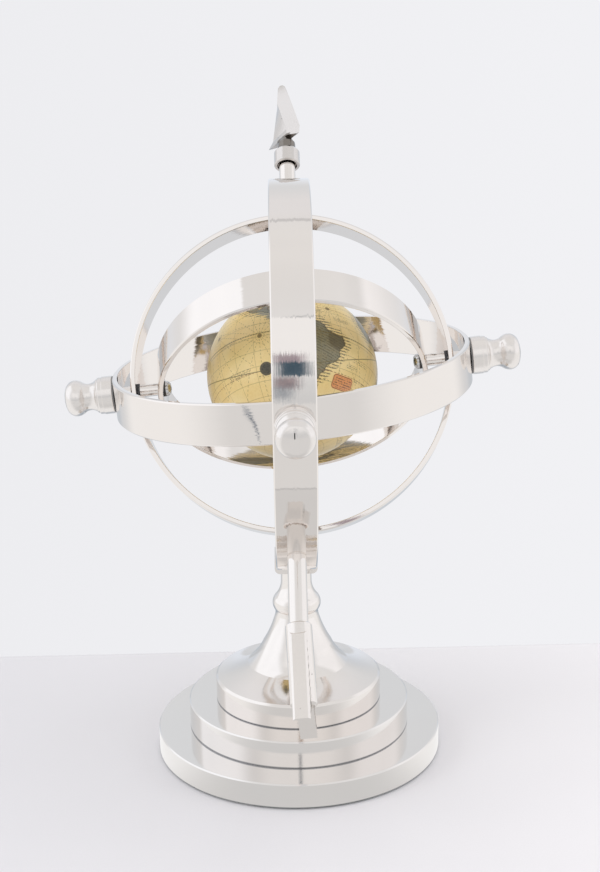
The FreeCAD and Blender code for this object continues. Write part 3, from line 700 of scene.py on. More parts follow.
WASHER = dull("dark_fibre", (0.075, 0.075, 0.080), rough=0.5, scale=1800.0, bump=0.3)
RIM = dull("grey_fibre", (0.21, 0.208, 0.205), rough=0.5, scale=1800.0, bump=0.3)
BUSH = dull("dark_acetal", (0.045, 0.040, 0.036), rough=0.38, scale=1400.0, bump=0.12,
            variation=0.2)
FELT = dull("green_felt", (0.035, 0.075, 0.05), rough=0.95, scale=2600.0, bump=0.9,
            variation=0.6, sheen=0.4)
# the arrow head's cast nickel is painted darker than the other cast pieces as painted shade
HEAD = cast("cast_nickel_head_shaded", (0.72, 0.69, 0.67), rough=0.14, overlay=head_shade)

# ---------------------------------------------------------------- hoops
AIM = math.degrees(math.atan2(ARROW[2], ARROW[1]))   # where the arrow crosses the meridian ring
PIVOT_HOLES = [(0, PIVOT_BORE, 0), (180, PIVOT_BORE, 0)]
SCREW_HOLES = [(0, SCREW_BORE, 0), (180, SCREW_BORE, 0)]
MERIDIAN_HOLES = SCREW_HOLES + [(AIM, SHAFT_BORE, 0), (AIM + 180, SHAFT_BORE, 0), (270, 3.1, 6.3)]
EQUATOR_HOLES = SCREW_HOLES + [(90, PIVOT_BORE, 0), (270, PIVOT_BORE, 0)]
# CAD node, outer radius, placement, body, holes
RINGS = [
    ("meridian_ring", MERIDIAN_RADIUS, AT_MERIDIAN, "stand", MERIDIAN_HOLES),
    ("equator_band", EQUATOR_RADIUS, AT_EQUATOR, "equator", EQUATOR_HOLES),
    ("colure_ring", 101.7, AT_COLURE, "colure", PIVOT_HOLES),
    ("ecliptic_ring", 85.2, AT_ECLIPTIC, "ecliptic", PIVOT_HOLES),
]
# the equator band's holes at 0 and 180 degrees lie on the hinge axis, the others across it
for node, radius, at, body, holes in RINGS:
    add_piece(node, strip_ring(radius, holes), at, STRIP, body)

# ---------------------------------------------------------------- stand, arrow shaft and knobs
# Outlines are closed lists of (r, z) or (r, z, radius of the arc to the next point).
BASE_OUTLINE = [
    (14.5, 1.2), (93.4, 1.2), (94.0, 1.8), (94.0, BASE_TOP - DISC_EDGE),
    (94.0 - DISC_EDGE, BASE_TOP), (DISC_BORE, BASE_TOP), (DISC_BORE, 11.2), (14.5, 11.2),
]
MIDDLE_OUTLINE = [
    (DISC_BORE, BASE_TOP), (72.7, BASE_TOP), (73.0, 17.6), (73.0, MIDDLE_TOP - DISC_EDGE),
    (73.0 - DISC_EDGE, MIDDLE_TOP), (DISC_BORE, MIDDLE_TOP),
]
BELL_OUTLINE = [
    (49.6, MIDDLE_TOP), (54.5, MIDDLE_TOP), (54.8, 35.8), (54.8, 50.3), (53.4, 51.7, -80),
    (33.0, 59.6, -34), (23.0, 73.0, -75), (14.2, 93.4), (14.1, 95.2), (14.3, 96.6, 7.6),
    (14.4, 105.8, -16.0), (10.15, 115.5), (10.0, 125.0), (3.02, 125.0), (3.02, 106.5),
    (0, 105.0), (0, 101.0), (4.02, 101.0), (4.02, 80.0), (9.0, 79.0), (17.5, 72.0),
    (27.0, 58.5), (36.0, 51.0), (49.6, 46.5),
]
SHAFT_OUTLINE = [
    (0, -196.0), (3.4, -196.0), (4.0, -195.4), (4.0, -172.9), (5.7, -172.9), (5.7, -123.6),
    (5.45, -123.4), (5.45, 169.9), (4.0, 169.9), (4.0, 177.4), (3.4, 178.0), (0, 178.0),
]
CROWN_RADIUS, CROWN_EDGE, KNOB_LENGTH = 7.6, 29.8, 31.2
CROWN_RISE = KNOB_LENGTH - CROWN_EDGE
CROWN_DOME = (CROWN_RADIUS * CROWN_RADIUS + CROWN_RISE * CROWN_RISE) / (CROWN_RISE * 2)
# z measured from the knob's seat
KNOB_OUTLINE = [
    (SCREW_BORE, 0), (11.6, 0), (12.0, 0.4), (12.0, 6.3), (11.65, 6.6), (11.65, 8.6, 1.1),
    (10.7, 9.7), (10.7, 10.4, -6.4), (9.9, 19.3, 8.3), (11.5, 23.9, 6.5),
    (CROWN_RADIUS, CROWN_EDGE, CROWN_DOME), (0, KNOB_LENGTH), (0, 16.0), (SCREW_BORE, 14.5),
]
KNOB_GAP = 0.95            # from the hoop's outer face to the knob's seat

# CAD node, outline, segments, fillet, arc step in degrees, placement, material
STAND_PIECES = [
    ("base_disc", BASE_OUTLINE, 360, 0.25, 4.0, AT_BASE, DISC),
    ("middle_disc", MIDDLE_OUTLINE, 320, 0.25, 4.0, AT_BASE, MIDDLE),
    ("bell_pedestal", BELL_OUTLINE, 256, 0.35, 3.0, AT_BASE, POLISHED),
    ("arrow_shaft", SHAFT_OUTLINE, 96, 0.15, 4.0, AT_ARROW, POLISHED),
]
for node, outline, segments, fillet, arc_step, at, material in STAND_PIECES:
    add_piece(node, lathe(outline, segments, fillet, arc_step), at, material, "stand")

# side, radius of the hoop it sits on, placement, body, material
KNOBS = [
    ("front", MERIDIAN_RADIUS, placed(X_AXIS, Z_AXIS, -Y_AXIS), "stand", SLOTTED),
    ("back", MERIDIAN_RADIUS, placed(-X_AXIS, Z_AXIS, Y_AXIS), "stand", TURNED),
    ("left", EQUATOR_RADIUS, placed(HINGE_UP, Y_AXIS, -HINGE), "equator", TURNED),
    ("right", EQUATOR_RADIUS, placed(HINGE_UP, -Y_AXIS, HINGE), "equator", TURNED),
]
for side, radius, at, body, material in KNOBS:
    seat = radius + KNOB_GAP
    outline = [(r, seat + z, *arc) for r, z, *arc in KNOB_OUTLINE]
    add_piece(side + "_knob", lathe(outline, segments=160, fillet=0.22), at, material, body)

# ---------------------------------------------------------------- CAD pieces shown as they are
DRESSED = [
    (CAST, ["saddle", "front_spacer", "back_spacer", "left_outer_spacer", "left_inner_spacer",
            "right_outer_spacer", "right_inner_spacer", "upper_shaft_collar",
            "lower_shaft_collar", "arrow_tail"]),
    (HEAD, ["arrow_head"]),
    (SCREW, ["front_pivot_screw", "back_pivot_screw", "left_pivot_screw", "right_pivot_screw",
             "saddle_screw", "collar_set_screws"]),
    (PLAIN, ["tie_rod", "base_washer", "base_nut"]),
    (WASHER, [name for name in NODES if name.endswith(("_screw_washer", "_spacer_washer"))]),
    (RIM, [name for name in NODES if name.endswith("_knob_washer")]),
    (BUSH, ["upper_globe_bush", "lower_globe_bush"]),
    (FELT, ["felt_pad"]),
]
for material, names in DRESSED:
    for name in names:
        slots = NODES[name].data.materials
        slots.clear()
        slots.append(material)

# ---------------------------------------------------------------- globe
# The map's pole is the arrow. Its longitudes are turned and its lands moved north of their
# true latitudes, in degrees.
LONGITUDE_TURN = 71.6
LAND_SHIFT = 5.2
ZERO_SIDE = np.cross(X_AXIS, ARROW)
ZERO_SIDE = ZERO_SIDE if ZERO_SIDE[2] > 0 else -ZERO_SIDE


def map_direction(latitude, longitude):
    lat, lon = math.radians(latitude), math.radians(longitude + LONGITUDE_TURN)
    level = math.cos(lon) * ZERO_SIDE + math.sin(lon) * X_AXIS
    return math.sin(lat) * ARROW + math.cos(lat) * level


# closed coasts as (longitude, latitude)
LANDS = [
    # South America
    [(-77, 8), (-75.5, 10.6), (-72, 12), (-71.5, 11), (-68, 11.5), (-64, 10.5), (-61.8, 10.7),
     (-60, 8.5), (-57, 6), (-52, 5), (-50, 1), (-48, -1), (-44.5, -2.7), (-40, -3), (-37, -4.8),
     (-35.2, -6), (-34.9, -8.5), (-37, -11), (-39, -13.5), (-39.2, -17.8), (-41, -21),
     (-43, -23), (-46.5, -24.2), (-48.6, -26), (-48.8, -28.5), (-51.5, -31.8), (-54, -34.5),
     (-58, -34.2), (-57, -37), (-58.5, -38.5), (-62.2, -39), (-63.8, -41.5), (-65, -43),
     (-67.5, -46), (-66, -48), (-69, -51), (-68.5, -53), (-66, -55), (-70, -54.5), (-74, -52),
     (-75, -48), (-73.5, -44), (-73.8, -40), (-73, -37), (-71.6, -33), (-71.4, -29),
     (-70.4, -24), (-70.2, -18.5), (-73, -16.5), (-76.3, -14), (-78, -10), (-80, -6.5),
     (-81.2, -4.5), (-80, -2.5), (-80.8, -1), (-80, 1), (-78.7, 2), (-77.2, 4), (-77.7, 6.8)],
    # North and Central America
    [(-77, 8), (-79.5, 9.6), (-83, 10), (-83.5, 14.8), (-86, 15.8), (-88.5, 16), (-87.5, 20.5),
     (-90.3, 21), (-92, 18.6), (-95.5, 18.7), (-97.5, 22), (-97, 27), (-94, 29.5),
     (-89.5, 29.5), (-84, 30), (-82.5, 27.5), (-80.3, 25.2), (-80.5, 28), (-81, 31.5),
     (-76, 35), (-75.8, 37.5), (-74, 40.5), (-70, 42.5), (-66.5, 44.5), (-60.5, 46),
     (-65, 48.5), (-60, 50), (-56, 52.5), (-61.5, 57), (-65, 60), (-70, 61.5), (-77, 62),
     (-78, 58), (-77, 55), (-80, 51.5), (-83, 55), (-88, 57), (-94, 59), (-94, 63), (-88, 65),
     (-85, 69), (-95, 68), (-108, 68), (-115, 69), (-127, 70), (-141, 70), (-156, 71),
     (-166, 68), (-162, 66), (-167, 65), (-161, 64), (-165, 61), (-162, 59), (-157, 58.5),
     (-160, 56), (-152, 59), (-146, 61), (-138, 59), (-133, 56), (-128, 51), (-124, 47.5),
     (-124, 42), (-122.5, 37.5), (-118, 34), (-117, 32), (-115, 29), (-112, 25.5),
     (-109.7, 23), (-112, 28), (-113, 31.3), (-110, 27), (-106, 23), (-105.5, 20.3),
     (-102, 18), (-96, 15.8), (-93, 15.5), (-90, 13.7), (-87.5, 13), (-85.7, 11), (-85.5, 10),
     (-83, 8.2), (-80.5, 7.4), (-79.5, 8.9), (-78, 8)],
    # Africa
    [(-6, 35.8), (-9.5, 31), (-13, 27.5), (-17, 21), (-16.5, 16), (-17.4, 14.7), (-15, 11),
     (-13, 9), (-11, 6.7), (-7.5, 4.4), (-4, 5.3), (1.5, 6.1), (4.5, 6.3), (6, 4.3), (9, 4.5),
     (9.5, 1), (9, -1), (12, -5), (13.3, -9), (13.7, -12), (12, -16.5), (14.5, -22.5),
     (16.5, -29), (18.3, -33.8), (20, -34.8), (25.7, -34), (30, -31.5), (32.8, -27),
     (35.5, -23.5), (35, -20), (39.5, -16), (40.5, -11), (39, -7), (40, -3), (42.5, 0),
     (47, 4), (51, 11.5), (44, 10.5), (42.5, 12), (39, 15.5), (37.3, 20), (34, 26.5),
     (32.5, 30), (32, 31.2), (25, 31.7), (20, 31), (19, 30.3), (15.5, 32.3), (11, 33.5),
     (10.5, 37), (5, 36.8), (-1, 35.5)],
    # Europe and Asia
    [(-9, 43.5), (-9, 38.5), (-6, 36.5), (-2, 36.8), (0, 39.5), (3, 42), (6.5, 43.2), (10, 44),
     (12.5, 41.5), (16, 38.5), (18, 40.3), (14, 42.5), (13, 45.5), (19, 42), (22, 37), (24, 40),
     (27, 37), (31, 36.7), (36, 36.2), (34.5, 31.5), (35, 28), (39, 21), (43, 13), (45, 13),
     (52, 16), (59, 22), (56, 25), (51, 25), (48, 30), (50, 30), (56, 27), (61.5, 25),
     (67, 24.5), (72.5, 21), (73, 16), (77, 8.2), (80, 13), (80.5, 16), (87, 21.5), (91, 22.5),
     (94, 17), (98, 14), (98.5, 8), (101, 3), (104, 1.5), (103.5, 4), (100, 9), (100.5, 13.5),
     (105, 9), (109, 12), (106, 19.5), (110, 21), (117, 23.5), (121.5, 29), (119.5, 35),
     (122, 39.5), (126, 37.5), (126.5, 34.5), (129.3, 36), (128, 40), (132, 43), (140, 50),
     (137, 54.5), (143, 59), (155, 59.5), (156, 51.5), (162, 57), (163, 61), (178, 62.5),
     (179.9, 65), (179.9, 69), (160, 70), (140, 73), (113, 74), (105, 78), (87, 75), (80, 73),
     (70, 73), (68, 68.5), (55, 68.5), (44, 68), (40, 66), (33, 67), (41, 67), (28, 71),
     (18, 69.5), (12, 65), (5, 61.5), (6, 58.2), (10.5, 59.3), (12.5, 56), (16.5, 57), (18, 60),
     (17.3, 62), (22, 65.8), (25, 65), (21.5, 61.5), (29, 60), (24, 58.5), (21, 56), (19, 54.5),
     (10.5, 54), (10.5, 57.5), (8, 56.5), (8.5, 53.5), (4, 52), (-1.5, 48.8), (-4.7, 48.3),
     (-1.2, 46), (-1.5, 43.5)],
    # Great Britain
    [(-5.5, 50), (1.5, 51.3), (0, 53.5), (-2, 57.5), (-5, 58.5), (-6, 56), (-3, 54), (-5, 52)],
    # Greenland
    [(-44, 60), (-40, 65), (-22, 70), (-20, 76), (-12, 81.5), (-35, 83.5), (-60, 82),
     (-70, 77), (-55, 71), (-53, 66)],
    # Australia
    [(114, -22), (115.5, -34), (124, -33), (131, -31.5), (138, -35), (144, -38.5), (150, -37),
     (153, -30), (153, -26), (146, -19), (142.5, -11), (139.5, -17.5), (136, -12),
     (131, -11.5), (125, -15), (122, -18)],
    # New Guinea, Borneo, Sumatra
    [(131, -1), (141, -3), (150, -10), (143, -8.5), (138, -8)],
    [(109, 1), (117, 7), (118.5, 1), (116, -4), (110.5, -3)],
    [(95.5, 5.5), (104, -2), (106, -6), (101, -2.5)],
    # Madagascar, Japan, New Zealand
    [(44, -16), (49.5, -12.5), (50.3, -15.5), (47, -25), (44, -24)],
    [(130.5, 31.5), (136, 34), (141, 36), (141.5, 41), (139.5, 38.5), (132, 34.5)],
    [(172.5, -34.5), (178, -38), (174.5, -41.5), (168.5, -46.5), (167, -45.5), (172, -41)],
    # Cuba, Hispaniola
    [(-84.5, 22), (-80, 23), (-74.3, 20.2), (-77.5, 20)],
    [(-74, 19.8), (-68.5, 18.7), (-74, 18.3)],
]
COAST_SAMPLE = 0.35        # degrees between the points that distances are measured to


def coast_distance(directions):
    """Signed distance to the nearest coast in degrees, positive on land."""
    lat = np.degrees(np.arcsin(np.clip(directions @ ARROW, -1, 1))) - LAND_SHIFT
    lon = np.degrees(np.arctan2(directions @ X_AXIS, directions @ ZERO_SIDE))
    lon = (lon - LONGITUDE_TURN + 180) % 360 - 180
    on_land = np.zeros(len(directions), bool)
    samples = []
    for land in LANDS:
        inside = np.zeros(len(directions), bool)
        for (x0, y0), (x1, y1) in zip(land, land[1:] + land[:1]):
            if y0 != y1:
                crossing_lon = (x1 - x0) * (lat - y0) / (y1 - y0) + x0
                inside ^= ((y0 > lat) != (y1 > lat)) & (lon < crossing_lon)
            length = math.hypot((x1 - x0) * math.cos(math.radians(y0)), y1 - y0)
            steps = max(1, int(length / COAST_SAMPLE))
            for k in range(steps):
                share = k / steps
                samples.append(map_direction(y0 + (y1 - y0) * share + LAND_SHIFT,
                                             x0 + (x1 - x0) * share))
        on_land |= inside
    tree = KDTree(len(samples))
    for i, sample in enumerate(samples):
        tree.insert(Vector(sample), i)
    tree.balance()
    chords = np.array([tree.find(Vector(direction))[2] for direction in directions])
    degrees = np.degrees(2 * np.arcsin(np.clip(chords / 2, 0, 1)))
    return np.where(on_land, degrees, -degrees)


# compass roses: latitude, longitude, reach of the rays in degrees
ROSES = [(0.5, -93, 44), (-34, -12, 34), (24, -45, 34), (12, -130, 40), (-20, 75, 40),
         (5, 165, 36)]
ROSE_RAYS = 16
RAY_INSET = 0.0            # taken off the offset from a ray
# printed notes: latitude, longitude, half width and half height in degrees
NOTES = [
    (-22, -112, 9, 2.2), (2, -118, 7, 1.4), (-48, -104, 10, 2.0), (-12, -20, 7, 1.6),
    (-25, -57, 5.5, 1.1), (38, -100, 8, 1.6), (10, 20, 9, 2.0), (45, 70, 12, 2.2),
    (-26, 134, 8, 1.8), (30, -150, 8, 1.8), (-58, 20, 12, 2.4), (-17, -27, 5, 1.6),
    (-24, -16, 6, 1.2), (15, -36, 6, 1.6), (20, -58, 7, 2.2), (-27, -92, 4, 0.8),
    (26, -70, 9, 2.0),
]


class GlobeNet(Net):
    """Paints the printed map in layers over self.color. Distances on it are in degrees."""

    def __init__(self, tree):
        super().__init__(tree)
        self.place = self.add("TexCoord", output="Object")
        self.local = self.vector("NORMALIZE", self.from_centre())
        coast = self.add("Attribute", output="Fac", attribute_name="coast")
        self.wobble = self.speckle(14.0, detail=4.0, rough=0.6)
        self.fine = self.speckle(60.0, detail=4.0, rough=0.65)
        self.grain = self.speckle(220.0, detail=3.0, rough=0.7)
        self.shore = coast + (self.wobble - 0.5) * 5.0 + (self.fine - 0.5) * 1.6
        self.sin_lat = self.local.dot(ARROW)
        self.lat = self.math("ARCSINE", self.sin_lat) * DEGREES
        zero, quarter = self.local.dot(ZERO_SIDE), self.local.dot(X_AXIS)
        self.lon = self.math("ARCTAN2", quarter, zero) * DEGREES

    def from_centre(self):
        return self.vector("SUBTRACT", self.place, tuple(CENTRE * MM))

    def speckle(self, scale, detail, rough):
        return self.noise(self.local, scale, detail, rough)

    def draw(self, mask, tint, strength=None):
        factor = mask if strength is None else mask * strength
        self.color = self.mix(factor, self.color, tint)

    def around(self, latitude, longitude):
        """East and north offsets from a place, distance from it, and whether it faces this way."""
        centre = map_direction(latitude, longitude)
        angle = math.radians(longitude + LONGITUDE_TURN)
        east_way = -math.sin(angle) * ZERO_SIDE + math.cos(angle) * X_AXIS
        north_way = np.cross(centre, east_way)
        if north_way @ ARROW < 0:
            north_way = -north_way
        east = self.local.dot(east_way) * DEGREES
        north = self.local.dot(north_way) * DEGREES
        return east, north, self.hypot(east, north), self.local.dot(centre) > 0.2

    def paper(self):
        mottle = self.speckle(3.2, detail=4.0, rough=0.55)
        patches = self.speckle(2.1, detail=2.0, rough=0.5)
        self.color = self.mix(mottle.remap(0.3, 0.7), srgb(252, 229, 168), srgb(243, 214, 143))
        self.draw(self.fine.remap(0.45, 0.8, to=(0, 0.5)), srgb(228, 197, 126))
        self.draw(patches.remap(0.5, 0.75, to=(0, 0.5)), srgb(233, 214, 150))
        self.color = self.scale(self.color, self.grain.remap(0.2, 0.8, to=(0.93, 1.06)))

    def sea_strokes(self):
        """Short strokes along the parallels in the sea beside the coast."""
        near = self.shore.step(-4.6, soft=0.8) * self.shore.below(0.0, soft=0.1)
        broken = self.noise(self.scale(self.local, 1.0), scale=90.0, detail=1.0, rough=0.5) > 0.43
        stroke = (self.lat + self.fine * 0.9).dashes(period=2.1, share=0.42) * broken
        self.draw(near * stroke, srgb(92, 84, 58), strength=0.85)

    def land(self):
        land = self.shore.step(0.0, soft=0.12)
        patches = self.speckle(5.0, detail=2.0, rough=0.5)
        tint = self.mix(self.wobble.remap(0.35, 0.65), srgb(131, 129, 105), srgb(108, 110, 92))
        tint = self.mix(patches.remap(0.42, 0.62, to=(0, 0.85)), tint, srgb(128, 120, 90))
        slanted = (self.lat + self.lon * 0.35).dashes(period=1.9, share=0.4)
        hatch = slanted * (self.speckle(44.0, detail=3.0, rough=0.6) > 0.46)
        tint = self.mix(hatch * 0.75, tint, srgb(52, 52, 44))
        specks = self.speckle(120.0, detail=2.0, rough=0.6) > 0.62
        tint = self.mix(specks * 0.55, tint, srgb(176, 164, 122))
        self.draw(land, tint, strength=0.92)
        # darker province in the north-east of South America
        _, _, away, facing = self.around(-1.0, -40.0)
        self.draw(away.below(7.5, soft=1.2) * facing * land, srgb(82, 72, 55), strength=0.62)
        # blue-grey shore beside the isthmus
        _, _, away, facing = self.around(19.0, -86.0)
        blue = away.below(9.0, soft=2.5) * facing * self.shore.band(-2.6, 1.4, soft=0.5)
        self.draw(blue, srgb(120, 128, 126), strength=0.75)
        self.draw(abs(self.shore).below(0.28, soft=0.12), srgb(74, 66, 48), strength=0.85)

    def off_line(self, value, start, spacing):
        """Distance to the nearest of a set of evenly spaced lines."""
        return abs(self.math("FRACT", (value + start) / spacing) - 0.5) * spacing

    def graticule(self):
        lat, lon = self.lat, self.lon
        cos_lat = self.math("COSINE", self.math("ARCSINE", self.sin_lat))
        parallels = self.off_line(lat, start=95.0, spacing=10.0) < 0.17
        meridians = self.off_line(lon, start=183.4, spacing=15.0) * cos_lat < 0.15
        self.draw(self.math("MAXIMUM", parallels, meridians), srgb(140, 124, 72), strength=0.5)
        # bold ticked line near the equator, bending north towards the west
        bent = 2.4 + lon.remap(-142.0, -85.0, to=(3.7, 0.0))
        ticked = self.mix_value(lon.dashes(period=2.0, share=0.5), 0.5, 1.0)
        self.draw((abs(lat - bent) < 0.42) * ticked, srgb(122, 104, 58), strength=0.9)
        tropics = abs(abs(lat) - 23.5) < 0.22
        self.draw(tropics * lon.dashes(period=3.0, share=0.66), srgb(150, 96, 60), strength=0.75)
        # a slanting great circle, given by its pole
        off_circle = abs(self.local.dot(unit(map_direction(66.5, -90.0))))
        half_width = 0.0052
        circle = off_circle.below(half_width, soft=half_width * 0.35)
        self.draw(circle, srgb(116, 104, 62), strength=0.8)

    def rose(self, latitude, longitude, reach):
        """Compass rose with dashed rays running out of it."""
        east, north, away, facing = self.around(latitude, longitude)
        turns = self.math("ARCTAN2", north, east) * (ROSE_RAYS / (2 * math.pi))
        off_ray = abs(self.math("FRACT", turns + 100.5) - 0.5) - RAY_INSET
        width = off_ray * (2 * math.pi / ROSE_RAYS) * away
        rays = (width < 0.16) * away.dashes(period=2.4, share=0.55)
        self.draw(rays * (facing * (away < reach)), srgb(132, 116, 70), strength=0.7)
        hub = (away < 1.7) * facing
        petals = off_ray > away * 0.22
        self.draw(hub, srgb(176, 150, 92), strength=0.8)
        self.draw(hub * petals, srgb(92, 78, 50), strength=0.8)

    def note(self, latitude, longitude, half_width, half_height):
        """Printed note, as plain rows of ticks."""
        east, north, _, facing = self.around(latitude, longitude)
        box = (abs(east) < half_width) * (abs(north) < half_height)
        rows = (north + 40.0).dashes(period=1.25, share=0.55)
        ticks = self.streaks(self.place, (1500, 1500, 700), detail=2.0, rough=0.6) > 0.5
        self.draw(box * rows * (ticks * facing), srgb(104, 92, 60), strength=0.7)

    def roundel(self):
        """Small dark disc in the southern ocean."""
        _, _, away, facing = self.around(-22.4, -90.2)
        mottled = self.speckle(80.0, detail=2.0, rough=0.6) > 0.52
        tint = self.mix(mottled, srgb(84, 80, 62), srgb(52, 52, 44))
        tint = self.mix(away.band(3.4, 3.7) * 0.6, tint, srgb(128, 116, 84))
        self.draw(away.below(4.4, soft=0.3) * facing, tint)

    def panel(self):
        """Orange rounded panel with a dark border and rows of ticks."""
        east, north, _, facing = self.around(-29.0, -32.4)
        beyond_x = self.math("MAXIMUM", abs(east) - 5.6, 0.0)
        beyond_y = self.math("MAXIMUM", abs(north) - 2.5, 0.0)
        away = self.hypot(beyond_x, beyond_y)
        tint = self.mix(self.fine.remap(0.35, 0.7), srgb(236, 168, 112), srgb(220, 146, 92))
        rows = (north + 40.0).dashes(period=1.5, share=0.5)
        ticks = self.streaks(self.place, (1300, 1300, 500), detail=2.0, rough=0.6) > 0.49
        tint = self.mix(rows * ticks * ((away < 1.1) * 0.8), tint, srgb(96, 62, 40))
        tint = self.mix(away.band(1.75, 2.1), tint, srgb(112, 74, 46))
        self.draw(away.below(2.4, soft=0.15) * facing, tint)

    def age_and_wall(self):
        """Darken towards the poles; the bore and the inside of the shell are plain board."""
        self.draw(abs(self.sin_lat).remap(0.8, 1.0, to=(0.0, 0.35)), srgb(168, 142, 92))
        inside = self.vector("LENGTH", self.from_centre()) < (GLOBE_RADIUS - 0.3) * MM
        self.draw(inside, srgb(150, 138, 116))


def globe_material():
    material, net = new_material("globe_map", GlobeNet)
    net.paper()
    net.sea_strokes()
    net.land()
    net.graticule()
    for rose in ROSES:
        net.rose(*rose)
    for note in NOTES:
        net.note(*note)
    net.roundel()
    net.panel()
    net.age_and_wall()
    height = net.grain + net.speckle(9.0, detail=2.0, rough=0.5) * 1.2
    net.principled({
        "Base Color": net.color,
        "Normal": net.add("Bump", {"Strength": 0.10, "Distance": 0.0004, "Height": height}),
        "Roughness": net.grain.remap(0.2, 0.8, to=(0.32, 0.46)),
        "Coat Weight": 0.35,
        "Coat Roughness": 0.12,
    })
    return material


def add_globe():
    inner_radius = GLOBE_RADIUS - GLOBE_WALL
    outer_end = math.sqrt(GLOBE_RADIUS * GLOBE_RADIUS - GLOBE_BORE * GLOBE_BORE)
    inner_end = math.sqrt(inner_radius ** 2 - GLOBE_BORE * GLOBE_BORE)
    outline = [(GLOBE_BORE, -outer_end, GLOBE_RADIUS), (GLOBE_BORE, outer_end),
               (GLOBE_BORE, inner_end, -inner_radius), (GLOBE_BORE, -inner_end)]
    shell = lathe(outline, segments=288, fillet=0.0, arc_step=1.25)
    globe = add_piece("globe_ball", shell, AT_ARROW, globe_material(), "globe")
    points = np.zeros(len(globe.data.vertices) * 3)
    globe.data.vertices.foreach_get("co", points)
    points = points.reshape(-1, 3) * MM_PER_METRE - CENTRE
    directions = points / np.linalg.norm(points, axis=1)[:, None]
    coast = globe.data.attributes.new("coast", "FLOAT", "POINT")
    coast.data.foreach_set("value", coast_distance(directions).astype(np.float32))


add_globe()

# ---------------------------------------------------------------- table
TABLE_BACK, TABLE_FRONT = 0.151, -0.273
FLOOR_HALF = 6.0
# the backdrop glows, painted darker at its left end as painted shade
BACKDROP = (srgb(236, 236, 239), srgb(242, 242, 245))   # its left and right ends


def table_sheet(net, place, x, y):
    """White sheet with faint grain, painted darker towards the left as painted shade, and a faint
    line at its back edge.
    """
    edge_line = abs(y - TABLE_BACK) < 0.0014
    grain = net.noise(place, scale=900.0, detail=2.0, rough=0.5)
    cloud = net.noise(place, scale=5.0, detail=2.0, rough=0.5)
    # painted shade: the sheet is darker towards the left
    color = net.mix(x.remap(-0.25, 0.25), srgb(226, 225, 229), srgb(243, 241, 244))
    color = net.scale(color, grain.remap(0.3, 0.7, to=(0.99, 1.008)))
    color = net.scale(color, cloud.remap(0.3, 0.7, to=(0.985, 1.01)))
    color = net.mix(edge_line * 0.07, color, (0.3, 0.3, 0.32))
    matt = net.add("BsdfDiffuse", {0: color})
    gloss = net.add("BsdfGlossy", {"Roughness": 0.25})
    return net.mix_shader(0.04, matt, gloss)


def table_reflection(net, x, y, distance):
    """What polished faces see: dimmer in front and behind, brighter at the two sides."""
    off_front = abs(net.azimuth(x, y))
    sides = off_front.band(45.0, 132.0, soft=30.0, soft_high=16.0)
    behind = off_front.step(132.0, soft=16.0)
    glow = net.mix(sides, (0.70, 0.70, 0.70), (0.97, 0.97, 0.97))
    close = distance.below(0.25, soft=0.03)
    flags = off_front.band(143.0, 166.0, soft=6.0) * (distance < 1.6)
    front_edge = abs(y - TABLE_FRONT) < 0.003
    layers = [
        (behind, (0.70, 0.72, 0.75)),
        (close * off_front.below(45.0, soft=30.0), (0.69, 0.69, 0.69)),
        (close * behind, (0.47, 0.52, 0.58)),
        (flags * 0.3, (0.34, 0.40, 0.46)),
        ((y < TABLE_FRONT) * off_front.below(38.0, soft=10.0), (0.78, 0.78, 0.78)),
        (front_edge * 0.35 * off_front.below(30.0, soft=8.0), (0.2, 0.2, 0.22)),
    ]
    for mask, tint in layers:
        glow = net.mix(mask, glow, tint)
    return net.add("Emission", {0: glow})


def floor_material():
    material, net = new_material("studio_floor")
    geometry = net.node("NewGeometry")
    place = Wire(net, geometry.outputs["Position"])
    x, y, _ = net.xyz(place)
    distance = net.hypot(x, y)
    look_x, look_y, _ = net.xyz(Wire(net, geometry.outputs["Incoming"]))
    # the backdrop behind the table glows in one tone, painted darker towards the left as painted
    # shade
    backdrop = net.add("Emission", {0: net.mix((look_x * -1.0).remap(-0.3, 0.3), *BACKDROP)})
    # seen from the front the table ends behind the stand; otherwise it only fades out far away
    from_front = (abs(look_x) < 0.35) * (look_y < 0.0)
    ended = net.math("MAXIMUM", (y > TABLE_BACK) * from_front, distance.step(1.5, soft=1.0))
    seen = net.mix_shader(ended, table_sheet(net, place, x, y), backdrop)
    glossy = net.add("LightPath", output="Is Glossy Ray")
    picked = net.mix_shader(glossy, seen, table_reflection(net, x, y, distance))
    net.node("OutputMaterial", {0: picked})
    return material


floor = mesh_object("studio_floor", [(-FLOOR_HALF, -FLOOR_HALF, 0), (FLOOR_HALF, -FLOOR_HALF, 0),
                                     (FLOOR_HALF, FLOOR_HALF, 0), (-FLOOR_HALF, FLOOR_HALF, 0)],
                    [(0, 1, 2, 3)])
floor.data.materials.append(floor_material())


